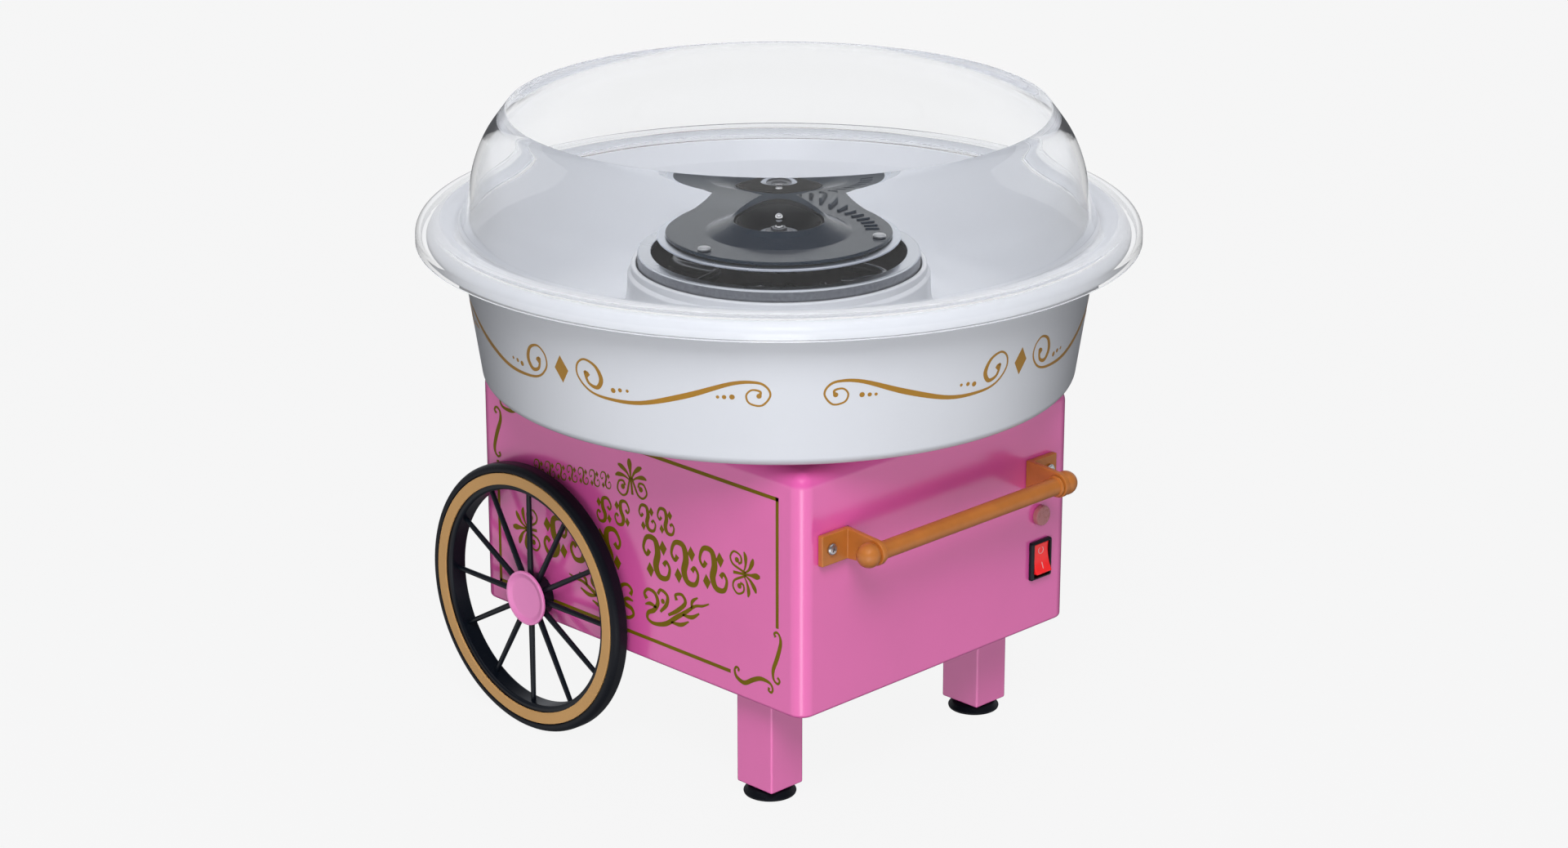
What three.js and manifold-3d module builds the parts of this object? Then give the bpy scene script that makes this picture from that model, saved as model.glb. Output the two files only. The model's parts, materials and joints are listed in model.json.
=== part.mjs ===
// A small cart-shaped cotton candy machine: a white bowl with a clear rim guard on a pink cart.
// Millimetres, +Z up. The origin is on the floor under the bowl's axis, and the handle faces -Y.
import * as THREE from "three";
import { mergeVertices } from "three/addons/utils/BufferGeometryUtils.js";
import { RoundedBoxGeometry } from "three/addons/geometries/RoundedBoxGeometry.js";
import Module from "manifold-3d";

const wasm = await Module();
wasm.setup();

// Driving dimensions.
const GAP = 0.3; // between pieces that touch
const CART = { x: 78, front: -90.5, back: 97.5, bottom: 46.4, top: 147, edge: 6.5, wall: 2 };
const LEG = { x: 60.5, y: -55.5, halfX: 8.9, halfY: 9.9, wall: 2 };
const FOOT = { radius: 10.7, height: 4, plug: 5.5 };
const WHEEL = { y: 61.4, z: 57.3, radius: 57.3, inner: 79, outer: 87.4, rimOuter: 53, rimInner: 46.2, tread: 81.4 };
const BAND = { inner: 48.7, outer: 53.5, thick: 1 };
const HUB = { radius: 9, inner: 78.5, outer: 84.6, cap: 11.6, capFace: 86.9 };
const SPOKE = { count: 12, radius: 1.5, x: 83 };
const AXLE = { radius: 3, end: 83.5 };
const HANDLE = {
  x: -1.6, y: -107.4, z: 115, radius: 3.6, armX: 51.9, armThick: 2.2, armEnd: 5.2, flangeX: 67.9, low: 108.9, high: 121.5,
};
const KNOB = { radius: 5, x: 57 };
const HANDLE_SCREW = { x: 63.2, z: 115.6 };
const SWITCH = { x: 59.8, z: 76.6, halfWidth: 6.25, halfHeight: 8.3, proud: 2 };
const ROCKER = { halfWidth: 4.5, half: 6.3, valley: 3.4, pivotY: -88.6, tilt: THREE.MathUtils.degToRad(10) };
const LENS = { x: 59.5, z: 95.8, radius: 4.2, proud: 2.5, stem: 3 };
const SEAT = { inner: 58.6, outer: 68, top: 151.2 };
const BOWL = { bottom: 151.5, wall: 2.5, low: 120.6, high: 128.4, rimZ: 208, rim: 141.2, crest: 216, hole: 58.6 };
const COLLAR = { radius: 61.2, top: 193.5 };
const DOME = { thick: 2, flange: 146, skirt: 209.5, crest: 218.4, throat: 127.2, lip: 108.7, top: 261.9 };
const DRUM = { outer: 57.2, inner: 51.7, top: 199.6, floor: 186, wall: 1.2, hole: 7 };
const ELEMENT = { radius: 2.1, z: 194, mean: 35, wave: 9, waves: 6 };
const PLATE = { radius: 49.2, top: 208.3, thick: 1.5, dish: 38, dishTop: 204 };
const COVER = { radius: 45.9, top: 210, throat: 19, throatTop: 214.9, thick: 1.3, brim: 29 };
const HEAD_SCREW = { ring: 41.6, radius: 2.7, first: 60 };
const SHAFT = { radius: 3, bottom: 82, shoulder: 205.4, upper: 1.6, ball: 1.64, ballZ: 214.9 };
const PIN = { radius: 1, half: 6.5, z: 201.4 };
const MOTOR = { radius: 26, bottom: 84, top: 134, wall: 1.5, rotor: 19 };
const BRACKET = { radius: 38, bottom: 138.3, thick: 2, screwRing: 33 };
const BASE_SCREW = { x: 66, y: [-25, 85], radius: 1.6 };
const GLAND = { x: 40, z: 62, bore: 2.6 };
const ROUND = 28; // sides of the large circles
const MEDIUM = 16;
const SMALL = 8;

// Plain finishes: colour, roughness and metalness.
function finish(color, roughness, metalness = 0, more = {}) {
  return new THREE.MeshStandardMaterial({ color, roughness, metalness, ...more });
}
const FINISH = {
  pink: finish(0xcf6fa3, 0.35),
  white: finish(0xe9ecf2, 0.3),
  clear: finish(0xeef2fa, 0.05, 0, { transparent: true, opacity: 0.3 }),
  black: finish(0x1d2226, 0.5),
  rubber: finish(0x16181a, 0.8),
  tan: finish(0xbd9058, 0.5),
  wood: finish(0xb56c32, 0.45),
  red: finish(0xe8242b, 0.35),
  amber: finish(0xa06468, 0.4),
  steel: finish(0xb9bcc2, 0.35, 1),
  slate: finish(0x3c4650, 0.45, 0.4),
  dark: finish(0x2a2422, 0.6, 0.5),
  ceramic: finish(0xe4dccb, 0.6),
  copper: finish(0xb5753f, 0.4, 1),
  board: finish(0x2f6b45, 0.6),
};

// Solids.
function toSolid(geometry) {
  const bare = geometry.clone();
  bare.deleteAttribute("normal");
  bare.deleteAttribute("uv");
  const merged = mergeVertices(bare, 1e-4);
  const vertProperties = new Float32Array(merged.attributes.position.array);
  const triVerts = new Uint32Array(merged.index.array);
  return new wasm.Manifold(new wasm.Mesh({ numProp: 3, vertProperties, triVerts }));
}

function toGeometry(solid) {
  const mesh = solid.getMesh();
  const geometry = new THREE.BufferGeometry();
  geometry.setAttribute("position", new THREE.BufferAttribute(mesh.vertProperties, 3));
  geometry.setIndex(new THREE.BufferAttribute(mesh.triVerts, 1));
  geometry.computeVertexNormals();
  return geometry;
}

function join(...pieces) {
  return toGeometry(pieces.map(toSolid).reduce((sum, piece) => sum.add(piece)));
}

function cut(body, ...tools) {
  return toGeometry(tools.map(toSolid).reduce((rest, tool) => rest.subtract(tool), toSolid(body)));
}

// The tapered solid between two convex ones.
function span(here, there) {
  return toGeometry(wasm.Manifold.hull([toSolid(here), toSolid(there)]));
}

// Turns a profile of [radius, height] points about +Z. A profile that doesn't touch the axis is closed.
function revolve(profile, sides = ROUND) {
  const closed = profile[0][0] > 0 || profile.at(-1)[0] > 0;
  const ring = closed ? [...profile, profile[0]] : profile;
  const area = ring.reduce((sum, [r, z], i) => {
    const [nextR, nextZ] = ring[(i + 1) % ring.length];
    return sum + r * nextZ - nextR * z;
  }, 0);
  const ordered = area < 0 ? [...ring].reverse() : ring;
  const points = ordered.map(([r, z]) => new THREE.Vector2(r, z));
  return new THREE.LatheGeometry(points, sides).rotateX(Math.PI / 2);
}

// A ring with a square section.
function tube(outer, inner, low, high, sides = MEDIUM) {
  return revolve([[inner, low], [outer, low], [outer, high], [inner, high]], sides);
}

function disc(radius, low, high, sides = MEDIUM) {
  return revolve([[0, low], [radius, low], [radius, high], [0, high]], sides);
}

// Points of an arc about (r, z), from one angle to another in degrees.
function arc(r, z, radius, from, to, steps) {
  return Array.from({ length: steps + 1 }, (_, i) => {
    const angle = THREE.MathUtils.degToRad(from + ((to - from) * i) / steps);
    return [r + radius * Math.cos(angle), z + radius * Math.sin(angle)];
  });
}

// Lays a solid of revolution along +X, or along -Y so that its top faces forwards.
const alongX = (geometry) => geometry.rotateY(Math.PI / 2);
const facingFront = (geometry) => geometry.rotateX(Math.PI / 2);

function box(x0, x1, y0, y1, z0, z1) {
  return new THREE.BoxGeometry(x1 - x0, y1 - y0, z1 - z0).translate((x0 + x1) / 2, (y0 + y1) / 2, (z0 + z1) / 2);
}

// A block with rounded edges all round.
function roundedBox(x0, x1, y0, y1, z0, z1, radius, steps) {
  const block = new RoundedBoxGeometry(x1 - x0, y1 - y0, z1 - z0, steps, radius);
  return block.translate((x0 + x1) / 2, (y0 + y1) / 2, (z0 + z1) / 2);
}

// A block whose upright edges alone are rounded.
function column(x0, x1, y0, y1, z0, z1, radius, steps) {
  const tall = roundedBox(x0, x1, y0, y1, z0 - 2 * radius, z1 + 2 * radius, radius, steps);
  return toGeometry(toSolid(tall).intersect(toSolid(box(x0 - 1, x1 + 1, y0 - 1, y1 + 1, z0, z1))));
}

// A round section swept along a smooth curve through the points.
function sweep(points, radius, steps, sides = 8) {
  const section = new THREE.Shape();
  for (let i = 0; i < sides; i++) {
    const angle = (2 * Math.PI * i) / sides;
    const [x, y] = [radius * Math.cos(angle), radius * Math.sin(angle)];
    if (i === 0) section.moveTo(x, y);
    else section.lineTo(x, y);
  }
  section.closePath();
  const extrudePath = new THREE.CatmullRomCurve3(points.map((p) => new THREE.Vector3(...p)));
  return new THREE.ExtrudeGeometry(section, { steps, extrudePath, bevelEnabled: false });
}

const machine = new THREE.Group();

function add(name, geometry, material, parent = machine) {
  const mesh = new THREE.Mesh(geometry, material);
  mesh.name = name;
  parent.add(mesh);
  return mesh;
}

const SIDES = [
  ["left", -1],
  ["right", 1],
];

// The points round the axis where three like pieces stand.
function threeRound(ring, first) {
  return [0, 1, 2].map((i) => {
    const angle = THREE.MathUtils.degToRad(first + 120 * i);
    return [ring * Math.cos(angle), ring * Math.sin(angle)];
  });
}

// The cart body, its base and what fastens it.
function cartShell() {
  const { x, front, back, bottom, top, edge, wall } = CART;
  const sunk = 20; // how far the rounded blocks run below the open bottom
  const outer = roundedBox(-x, x, front, back, bottom - sunk, top, edge, 2);
  const inner = roundedBox(
    wall - x, x - wall, front + wall, back - wall, bottom - sunk - 5, top - wall, edge - wall, 2);
  const below = box(-2 * x, 2 * x, 2 * front, 2 * back, bottom - 2 * sunk, bottom);
  const posts = [];
  const pilots = [];
  for (const side of [-1, 1]) {
    for (const y of BASE_SCREW.y) {
      const low = bottom + 2 + GAP;
      posts.push(disc(4.5, low, top - 1, SMALL).translate(side * BASE_SCREW.x, y, 0));
      pilots.push(disc(BASE_SCREW.radius + GAP, low - 1, low + 12, SMALL).translate(side * BASE_SCREW.x, y, 0));
    }
  }
  for (const [px, py] of threeRound(BRACKET.screwRing, 90)) {
    const low = BRACKET.bottom + BRACKET.thick + GAP;
    posts.push(disc(3.5, low, top - 1, SMALL).translate(px, py, 0));
    pilots.push(disc(1.9, low - 1, top - wall - 0.5, SMALL).translate(px, py, 0));
  }
  const holes = [
    disc(20, top - 10, top + 10),
    alongX(disc(AXLE.radius + GAP, -2 * x, 2 * x, MEDIUM)).translate(0, WHEEL.y, WHEEL.z),
    box(SWITCH.x - 5.8, SWITCH.x + 5.8, front - 5, front + 5, SWITCH.z - 8.1, SWITCH.z + 8.1),
    facingFront(disc(LENS.stem + GAP, -10, 10, MEDIUM)).translate(LENS.x, front, LENS.z),
    facingFront(disc(4.5 + GAP, -10, 10, MEDIUM)).translate(GLAND.x, back, GLAND.z),
  ];
  for (const side of [-1, 1]) {
    const screwX = HANDLE.x + side * HANDLE_SCREW.x;
    holes.push(facingFront(disc(1.3 + GAP, -10, 10, SMALL)).translate(screwX, front, HANDLE_SCREW.z));
  }
  return cut(join(cut(outer, inner, below), ...posts), ...pilots, ...holes);
}

function basePlate() {
  const { x, front, back, bottom, wall } = CART;
  const inset = wall + GAP;
  const plate = column(inset - x, x - inset, front + inset, back - inset, 0, 2, CART.edge - inset, 2);
  const standoffs = [-52, -24].map((sx) => disc(3, 1, 7, SMALL).translate(sx, 30, 0));
  const vents = [-3, -2, -1, 0, 1, 2, 3].map((i) => box(9 * i - 2, 9 * i + 2, -14, 14, -1, 3));
  const screwHoles = [-1, 1].flatMap((side) =>
    BASE_SCREW.y.map((y) => disc(BASE_SCREW.radius + GAP, -1, 3, SMALL).translate(side * BASE_SCREW.x, y, 0)));
  return cut(join(plate, ...standoffs), ...vents, ...screwHoles).translate(0, 0, bottom);
}

// A pan-head screw whose head's underside is at height 0 and whose shank points up.
function panScrew(headRadius, headHeight, shankRadius, length) {
  return revolve(
    [[0, -headHeight], [0.6 * headRadius, -headHeight], [headRadius, -0.4 * headHeight], [headRadius, 0],
      [shankRadius, 0], [shankRadius, length], [0, length]], SMALL);
}

function leg() {
  const { halfX, halfY, wall } = LEG;
  const low = FOOT.height + GAP;
  const high = CART.bottom - GAP;
  const outer = column(-halfX, halfX, -halfY, halfY, low, high, 1, 2);
  const inside = box(wall - halfX, halfX - wall, wall - halfY, halfY - wall, low - 1, high - wall);
  return cut(outer, inside);
}

function foot() {
  const { radius, height, plug } = FOOT;
  return revolve([[0, 0], [radius - 0.5, 0], [radius, 0.6], [radius - 0.2, 1.4], [radius - 1.6, 3.2],
    [radius - 3.5, height], [plug, height], [plug, height + 8], [0, height + 8]], MEDIUM);
}

// One wheel, with its outer side towards +X and its axis at y = z = 0.
function wheelFrame() {
  const { inner, outer, rimOuter, rimInner } = WHEEL;
  const rim = revolve([[rimInner + 0.8, inner], [rimOuter, inner], [rimOuter, outer], [rimInner + 0.8, outer],
    [rimInner, outer - 1], [rimInner, inner + 1]]);
  const barrel = disc(HUB.radius, HUB.inner, HUB.outer, MEDIUM);
  const spokes = Array.from({ length: SPOKE.count }, (_, i) =>
    new THREE.CylinderGeometry(SPOKE.radius, SPOKE.radius, rimInner - HUB.radius + 3, 6)
      .translate(0, (rimInner + HUB.radius) / 2, 0)
      .rotateX(Math.PI)
      .rotateZ((2 * Math.PI * i) / SPOKE.count)
      .translate(0, 0, SPOKE.x));
  const bore = disc(AXLE.radius + GAP, HUB.inner - 1, HUB.outer + 1, MEDIUM);
  return alongX(cut(join(rim, barrel, ...spokes), bore));
}

function tyre() {
  const { radius, tread, outer, rimOuter } = WHEEL;
  const seat = rimOuter + GAP;
  return alongX(revolve([[seat, tread], [radius - 0.8, tread], [radius, tread + 0.8], [radius, outer - 1],
    [radius - 1.2, outer + 0.7], [BAND.outer + GAP, outer + 1], [BAND.outer + GAP, outer]]));
}

function band() {
  return alongX(tube(BAND.outer, BAND.inner, WHEEL.outer + GAP, WHEEL.outer + BAND.thick, ROUND));
}

// A shallow dish with a boss that faces the hub.
function hubCap() {
  const { cap, capFace, outer } = HUB;
  return alongX(revolve([[0, outer + GAP], [cap - 1.2, outer + GAP], [cap, capFace - 1], [cap, capFace - 0.4],
    [cap - 0.4, capFace], [cap - 1.2, capFace], [cap - 2.2, capFace - 0.6], [0, capFace - 0.9]], MEDIUM));
}

// The handle: a turned bar between two angle brackets, with a ball knob on each end.
function handleBar() {
  const { radius, armX } = HANDLE;
  const half = [[radius, 0], [radius, armX - 1.4], [radius + 0.8, armX - 1.2], [radius + 0.8, armX - GAP],
    [2.2, armX - GAP], [2.2, KNOB.x - 1.5], [0, KNOB.x - 1.5]];
  const mirrored = half.slice(1).reverse().map(([r, x]) => [r, -x]);
  return alongX(revolve([...mirrored, ...half], 16)).translate(0, HANDLE.y, HANDLE.z);
}

function handleBracket() {
  const { y, z, armX, armThick, armEnd, flangeX, low, high } = HANDLE;
  const back = CART.front - GAP;
  const flange = box(armX, flangeX, back - 2.5, back, low, high);
  const root = box(armX, armX + armThick, back - 2.5, back, low, high);
  const end = alongX(disc(armEnd, armX, armX + armThick, MEDIUM)).translate(0, y, z);
  const boreHole = alongX(disc(2.2 + GAP, armX - 1, armX + armThick + 1, SMALL)).translate(0, y, z);
  const screwHole = facingFront(disc(1.3 + GAP, -8, 8, SMALL)).translate(HANDLE_SCREW.x, back, HANDLE_SCREW.z);
  return cut(join(flange, span(root, end)), boreHole, screwHole);
}

function handleKnob() {
  const flat = HANDLE.armX + HANDLE.armThick + GAP - KNOB.x;
  const start = THREE.MathUtils.radToDeg(Math.asin(flat / KNOB.radius));
  const ball = arc(0, 0, KNOB.radius, start, 90, 6);
  ball[ball.length - 1][0] = 0;
  const hole = 2.2 + GAP;
  const profile = [[0, -1], [hole, -1], [hole, flat], ...ball];
  return alongX(revolve(profile, 16)).translate(KNOB.x, HANDLE.y, HANDLE.z);
}

// The rocker switch and the indicator beside it.
function switchBezel() {
  const { x, z, halfWidth, halfHeight, proud } = SWITCH;
  const face = CART.front;
  const frame = box(x - halfWidth, x + halfWidth, face - proud, face - GAP, z - halfHeight, z + halfHeight);
  const body = box(x - 5.5, x + 5.5, face - 1, face + 16, z - 7.8, z + 7.8);
  const well = box(x - ROCKER.halfWidth - GAP, x + ROCKER.halfWidth + GAP, face - 8, face + 8, z - 7.35, z + 7.35);
  return cut(join(frame, body), well);
}

// The rocker, with its pivot at the origin of its own group and its upper half pressed in.
function rockerSolid() {
  const { half, valley, tilt, halfWidth } = ROCKER;
  const rise = half * Math.tan(tilt);
  const outline = new THREE.Shape();
  outline.moveTo(0, valley);
  outline.lineTo(half, valley + rise);
  outline.lineTo(half - 0.3, 0.5);
  outline.lineTo(2.6, -3.6);
  outline.lineTo(-2.6, -3.6);
  outline.lineTo(0.3 - half, 0.5);
  outline.lineTo(-half, valley + rise);
  outline.closePath();
  const block = new THREE.ExtrudeGeometry(outline, { depth: 2 * halfWidth, bevelEnabled: false });
  return block
    .translate(0, 0, -halfWidth)
    .rotateY(Math.PI / 2)
    .rotateX(Math.PI)
    .rotateX(-tilt);
}

function indicatorLens() {
  const { radius, proud, stem } = LENS;
  return facingFront(revolve([[0, -12], [stem, -12], [stem, GAP], [radius, GAP], [radius, proud - 0.5],
    [radius - 0.5, proud], [0, proud]], MEDIUM)).translate(LENS.x, CART.front, LENS.z);
}

function cordGland() {
  const neck = CART.wall + GAP;
  return facingFront(revolve([[GLAND.bore, 2.8], [6.4, 2.8], [6.4, GAP], [4.5, GAP], [4.5, -neck],
    [6, -neck], [6, -neck - 2.5], [GLAND.bore, -neck - 2.5]], MEDIUM));
}

// The motor hangs under the cart's top.
function motorCan() {
  const { radius, wall, bottom, top } = MOTOR;
  return revolve([[7 + GAP, bottom], [radius, bottom], [radius, top], [radius - wall, top],
    [radius - wall, bottom + wall], [7 + GAP, bottom + wall]], MEDIUM);
}

function motorCap() {
  const { radius, top } = MOTOR;
  const high = BRACKET.bottom - GAP;
  return revolve([[7 + GAP, top + GAP], [radius, top + GAP], [radius, high], [7 + GAP, high]], MEDIUM);
}

function bush(low, high) {
  return tube(7, SHAFT.radius + GAP, low, high, SMALL);
}

function motorBracket() {
  const plate = tube(BRACKET.radius, 8, 0, BRACKET.thick, MEDIUM);
  const holes = threeRound(BRACKET.screwRing, 90).map(([x, y]) => disc(1.9, -1, 4, SMALL).translate(x, y, 0));
  return cut(plate, ...holes).translate(0, 0, BRACKET.bottom);
}

// The heater: a drum with a well in its top, a waved element in the well, and its ceramic feet.
function heaterDrum() {
  const { outer, inner, top, floor, wall, hole } = DRUM;
  const low = CART.top + GAP;
  return revolve([[outer, low], [outer, top - 1], [outer - 1, top], [inner + 0.6, top], [inner, top - 0.6],
    [inner, floor], [hole, floor], [hole, floor - wall], [inner + wall, floor - wall],
    [inner + wall, top - 2.4], [outer - wall, top - 2.4], [outer - wall, low]]);
}

function heatingElement() {
  const { radius, z, mean, wave, waves } = ELEMENT;
  const points = [];
  const last = 60;
  for (let i = 0; i <= last; i++) {
    const angle = THREE.MathUtils.degToRad(-80 + (340 * i) / last);
    const reach = mean + wave * Math.cos(waves * angle);
    points.push([reach * Math.cos(angle), reach * Math.sin(angle), z]);
  }
  return sweep(points, radius, last, 6);
}

function insulator() {
  return disc(3, DRUM.floor + GAP, ELEMENT.z - ELEMENT.radius - GAP, SMALL);
}

// The spinning head: a dished plate, a cover with a funnel, and the screen between them.
function headPlate() {
  const { radius, top, thick, dish, dishTop } = PLATE;
  const hub = 8;
  const bore = SHAFT.radius + GAP;
  const plate = revolve([[radius, top - 2], [radius, top], [dish + 1, top], [dish - 2.5, dishTop], [hub, dishTop],
    [hub, 209.2], [2.2, 209.2], [2.2, 206], [bore, 206], [bore, 199], [hub, 199], [hub, dishTop - thick],
    [dish - 2, dishTop - thick], [dish + 1.5, top - 2]]);
  const pinSlot = box(-hub - 1, hub + 1, -PIN.radius - GAP, PIN.radius + GAP, 198, PIN.z + PIN.radius + GAP);
  const screwHoles = threeRound(HEAD_SCREW.ring, HEAD_SCREW.first).map(([x, y]) =>
    disc(1.2 + GAP, top - 4, top + 4, SMALL).translate(x, y, 0));
  return cut(plate, pinSlot, ...screwHoles);
}

function headCover() {
  const { radius, top, throat, throatTop, thick, brim } = COVER;
  const rise = [[brim, top], [24, top + 1.2], [20.6, top + 3.4], [throat, throatTop]];
  const under = rise.slice(1, 3).reverse().map(([r, z]) => [r - 1, z - thick]);
  const cover = revolve([[radius, top - thick], [radius, top - 0.5], [radius - 0.6, top], ...rise,
    [17.6, throatTop - 1.5], ...under, [brim - 1, top - thick]]);
  const screwHoles = threeRound(HEAD_SCREW.ring, HEAD_SCREW.first).map(([x, y]) =>
    disc(1.2 + GAP, top - 4, top + 4, SMALL).translate(x, y, 0));
  return cut(cover, ...screwHoles);
}

function headCollar() {
  const washer = tube(5.5, 2.2, 209.5, 210, SMALL);
  const nut = revolve([[2.2, 209.8], [3.4, 209.8], [3.4, 211.4], [2.2, 211.4]], 6);
  return cut(join(washer, nut), disc(2.2, 209, 212, SMALL));
}

function spindle() {
  const { radius, bottom, shoulder, upper, ball, ballZ } = SHAFT;
  const tip = arc(0, ballZ, ball, -50, 90, 6);
  tip[tip.length - 1][0] = 0;
  const shaft = revolve([[0, bottom], [radius, bottom], [radius, shoulder], [upper, shoulder + 0.5],
    [upper, 211.6], [1, 212.2], ...tip], SMALL);
  const crossHole = alongX(disc(PIN.radius + GAP, -6, 6, 8)).translate(0, 0, PIN.z);
  return cut(shaft, crossHole);
}

// The bowl: floor, wall, rolled rim, and the collar that passes over the drum.
function bowl() {
  const { bottom, wall, low, high, rimZ, rim, crest, hole } = BOWL;
  const corner = 4;
  const floor = bottom + wall;
  const lowInside = low - wall;
  return revolve([
    [hole, bottom], [low - corner, bottom], ...arc(low - corner, bottom + corner, corner, -50, -10, 1),
    [high, rimZ], [131.5, 213], [137, 212.6], [138.7, 209],
    [rim, 209], [rim, 211.4], [rim - 1.8, crest - 1.6], [rim - 5, crest],
    [132, crest - 0.3], [126.6, 210],
    [high - wall - 0.3, rimZ - 3], ...arc(lowInside - corner, floor + corner, corner, -10, -90, 2),
    [COLLAR.radius + 4, floor], [COLLAR.radius + 0.8, floor + 6],
    [COLLAR.radius, COLLAR.top], [hole, COLLAR.top],
  ]);
}

function clearDome() {
  const { thick, flange, skirt, crest, throat, lip, top } = DOME;
  const wallPoints = [[throat, 218.4], [124.7, 227], [122.2, 239], [117.6, 250]];
  const inside = wallPoints.map(([r, z]) => [r - thick, z - 0.4]).reverse();
  return revolve([
    [flange - thick, skirt], [flange, skirt], [flange, 212], [flange - 2.2, crest - 2], [flange - 6, crest],
    [134, crest - 0.3], [128.2, 216], ...wallPoints,
    [lip + 0.6, top], [lip - 0.6, top - 0.6],
    ...inside, [throat - thick + 0.8, 214.2], [128.8, 213.9],
    [133.4, crest - 1.9], [flange - 6.4, crest - thick + 0.1], [flange - 3.6, crest - 3.6],
    [flange - thick, 211.4],
  ]);
}

// A small circuit board with a capacitor and a relay on it.
function circuitBoard() {
  const board = box(-58, -18, -28, 34, 53.7, 55.3);
  const capacitor = disc(6, 55, 68, SMALL).translate(-46, -14, 0);
  const relay = box(-38, -24, -8, 10, 55, 66);
  return join(board, capacitor, relay);
}

// The inner lead runs from the gland along the cart's floor to the switch.
function leadInlet() {
  return sweep([[GLAND.x, 88, GLAND.z], [GLAND.x, 82, GLAND.z], [42, 70, 68], [46, 45, 66], [47, 10, 58],
    [47, -25, 56], [52, -50, 60], [60, -62, 68], [62.8, -69, 74]], 2.1, 22);
}

// Assembly.
add("cart_shell", cartShell(), FINISH.pink);
add("base_plate", basePlate(), FINISH.black);
let baseScrews = 0;
for (const side of [-1, 1]) {
  for (const y of BASE_SCREW.y) {
    baseScrews += 1;
    const screw = add("base_screw_" + baseScrews, panScrew(3.2, 2, BASE_SCREW.radius, 12), FINISH.steel);
    screw.position.set(side * BASE_SCREW.x, y, CART.bottom - GAP);
  }
}

for (const [name, side] of SIDES) {
  add("leg_" + name, leg(), FINISH.pink).position.set(side * LEG.x, LEG.y, 0);
  add("foot_" + name, foot(), FINISH.rubber).position.set(side * LEG.x, LEG.y, 0);

  const wheel = new THREE.Group();
  wheel.position.set(0, WHEEL.y, WHEEL.z);
  wheel.rotation.z = side < 0 ? Math.PI : 0;
  add("wheel_" + name, wheelFrame(), FINISH.black, wheel);
  add("tyre_" + name, tyre(), FINISH.rubber, wheel);
  add("band_" + name, band(), FINISH.tan, wheel);
  add("hub_cap_" + name, hubCap(), FINISH.pink, wheel);
  machine.add(wheel);
}
add("axle", alongX(disc(AXLE.radius, -AXLE.end, AXLE.end, MEDIUM)).translate(0, WHEEL.y, WHEEL.z), FINISH.steel);

const mirrorX = (geometry) => toGeometry(toSolid(geometry).mirror([1, 0, 0]));
const onHandle = (geometry) => geometry.translate(HANDLE.x, 0, 0);
add("handle_bar", onHandle(handleBar()), FINISH.wood);
add("handle_bracket_left", onHandle(mirrorX(handleBracket())), FINISH.wood);
add("handle_bracket_right", onHandle(handleBracket()), FINISH.wood);
add("handle_knob_left", onHandle(mirrorX(handleKnob())), FINISH.wood);
add("handle_knob_right", onHandle(handleKnob()), FINISH.wood);
for (const [name, side] of SIDES) {
  const screw = add("handle_screw_" + name, panScrew(2.3, 1.3, 1.3, 8).rotateX(-Math.PI / 2), FINISH.steel);
  screw.position.set(HANDLE.x + side * HANDLE_SCREW.x, CART.front - 2.5 - 2 * GAP, HANDLE_SCREW.z);
}

add("switch_bezel", switchBezel(), FINISH.black);
add("switch_rocker", rockerSolid(), FINISH.red).position.set(SWITCH.x, ROCKER.pivotY, SWITCH.z);
add("indicator_lens", indicatorLens(), FINISH.amber);
add("cord_gland", cordGland().rotateZ(Math.PI), FINISH.black).position.set(GLAND.x, CART.back, GLAND.z);

add("motor_can", motorCan(), FINISH.steel);
add("motor_cap", motorCap(), FINISH.steel);
add("motor_bush_lower", bush(MOTOR.bottom, MOTOR.bottom + 4), FINISH.copper);
add("motor_bush_upper", bush(MOTOR.top + GAP, MOTOR.top + GAP + 3.4), FINISH.copper);
add("motor_rotor", tube(MOTOR.rotor, SHAFT.radius + GAP, MOTOR.bottom + 8, MOTOR.top - 6, MEDIUM), FINISH.copper);
add("motor_bracket", motorBracket(), FINISH.steel);
threeRound(BRACKET.screwRing, 90).forEach(([x, y], i) => {
  const screw = add("motor_screw_" + (i + 1), panScrew(2.8, 1.8, 1.6, 5.5), FINISH.steel);
  screw.position.set(x, y, BRACKET.bottom - GAP);
});

add("bowl_seat", tube(SEAT.outer, SEAT.inner, CART.top + GAP, SEAT.top, ROUND), FINISH.pink);
add("heater_drum", heaterDrum(), FINISH.steel);
add("heating_element", heatingElement(), FINISH.dark);
threeRound(ELEMENT.mean + ELEMENT.wave, 0).forEach(([x, y], i) => {
  add("element_insulator_" + (i + 1), insulator(), FINISH.ceramic).position.set(x, y, 0);
});
add("thermal_cutout", disc(7, DRUM.floor - DRUM.wall - GAP - 6, DRUM.floor - DRUM.wall - GAP, SMALL)
  .translate(30, 0, 0), FINISH.dark);

add("spindle", spindle(), FINISH.steel);
add("drive_pin", alongX(disc(PIN.radius, -PIN.half, PIN.half, 8)).translate(0, 0, PIN.z), FINISH.steel);
add("head_plate", headPlate(), FINISH.steel);
add("head_cover", headCover(), FINISH.slate);
add("head_screen", tube(33.6, 32.8, PLATE.dishTop + GAP, COVER.top - COVER.thick - GAP, ROUND), FINISH.steel);
add("head_collar", headCollar(), FINISH.steel);
threeRound(HEAD_SCREW.ring, HEAD_SCREW.first).forEach(([x, y], i) => {
  const screw = add("head_screw_" + (i + 1), panScrew(HEAD_SCREW.radius, 1.2, 1.2, 4), FINISH.steel);
  screw.rotation.x = Math.PI;
  screw.position.set(x, y, COVER.top + GAP);
});

add("bowl", bowl(), FINISH.white);
add("clear_dome", clearDome(), FINISH.clear);
add("circuit_board", circuitBoard(), FINISH.board);
add("lead_inlet", leadInlet(), FINISH.black);

export default machine;
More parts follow.
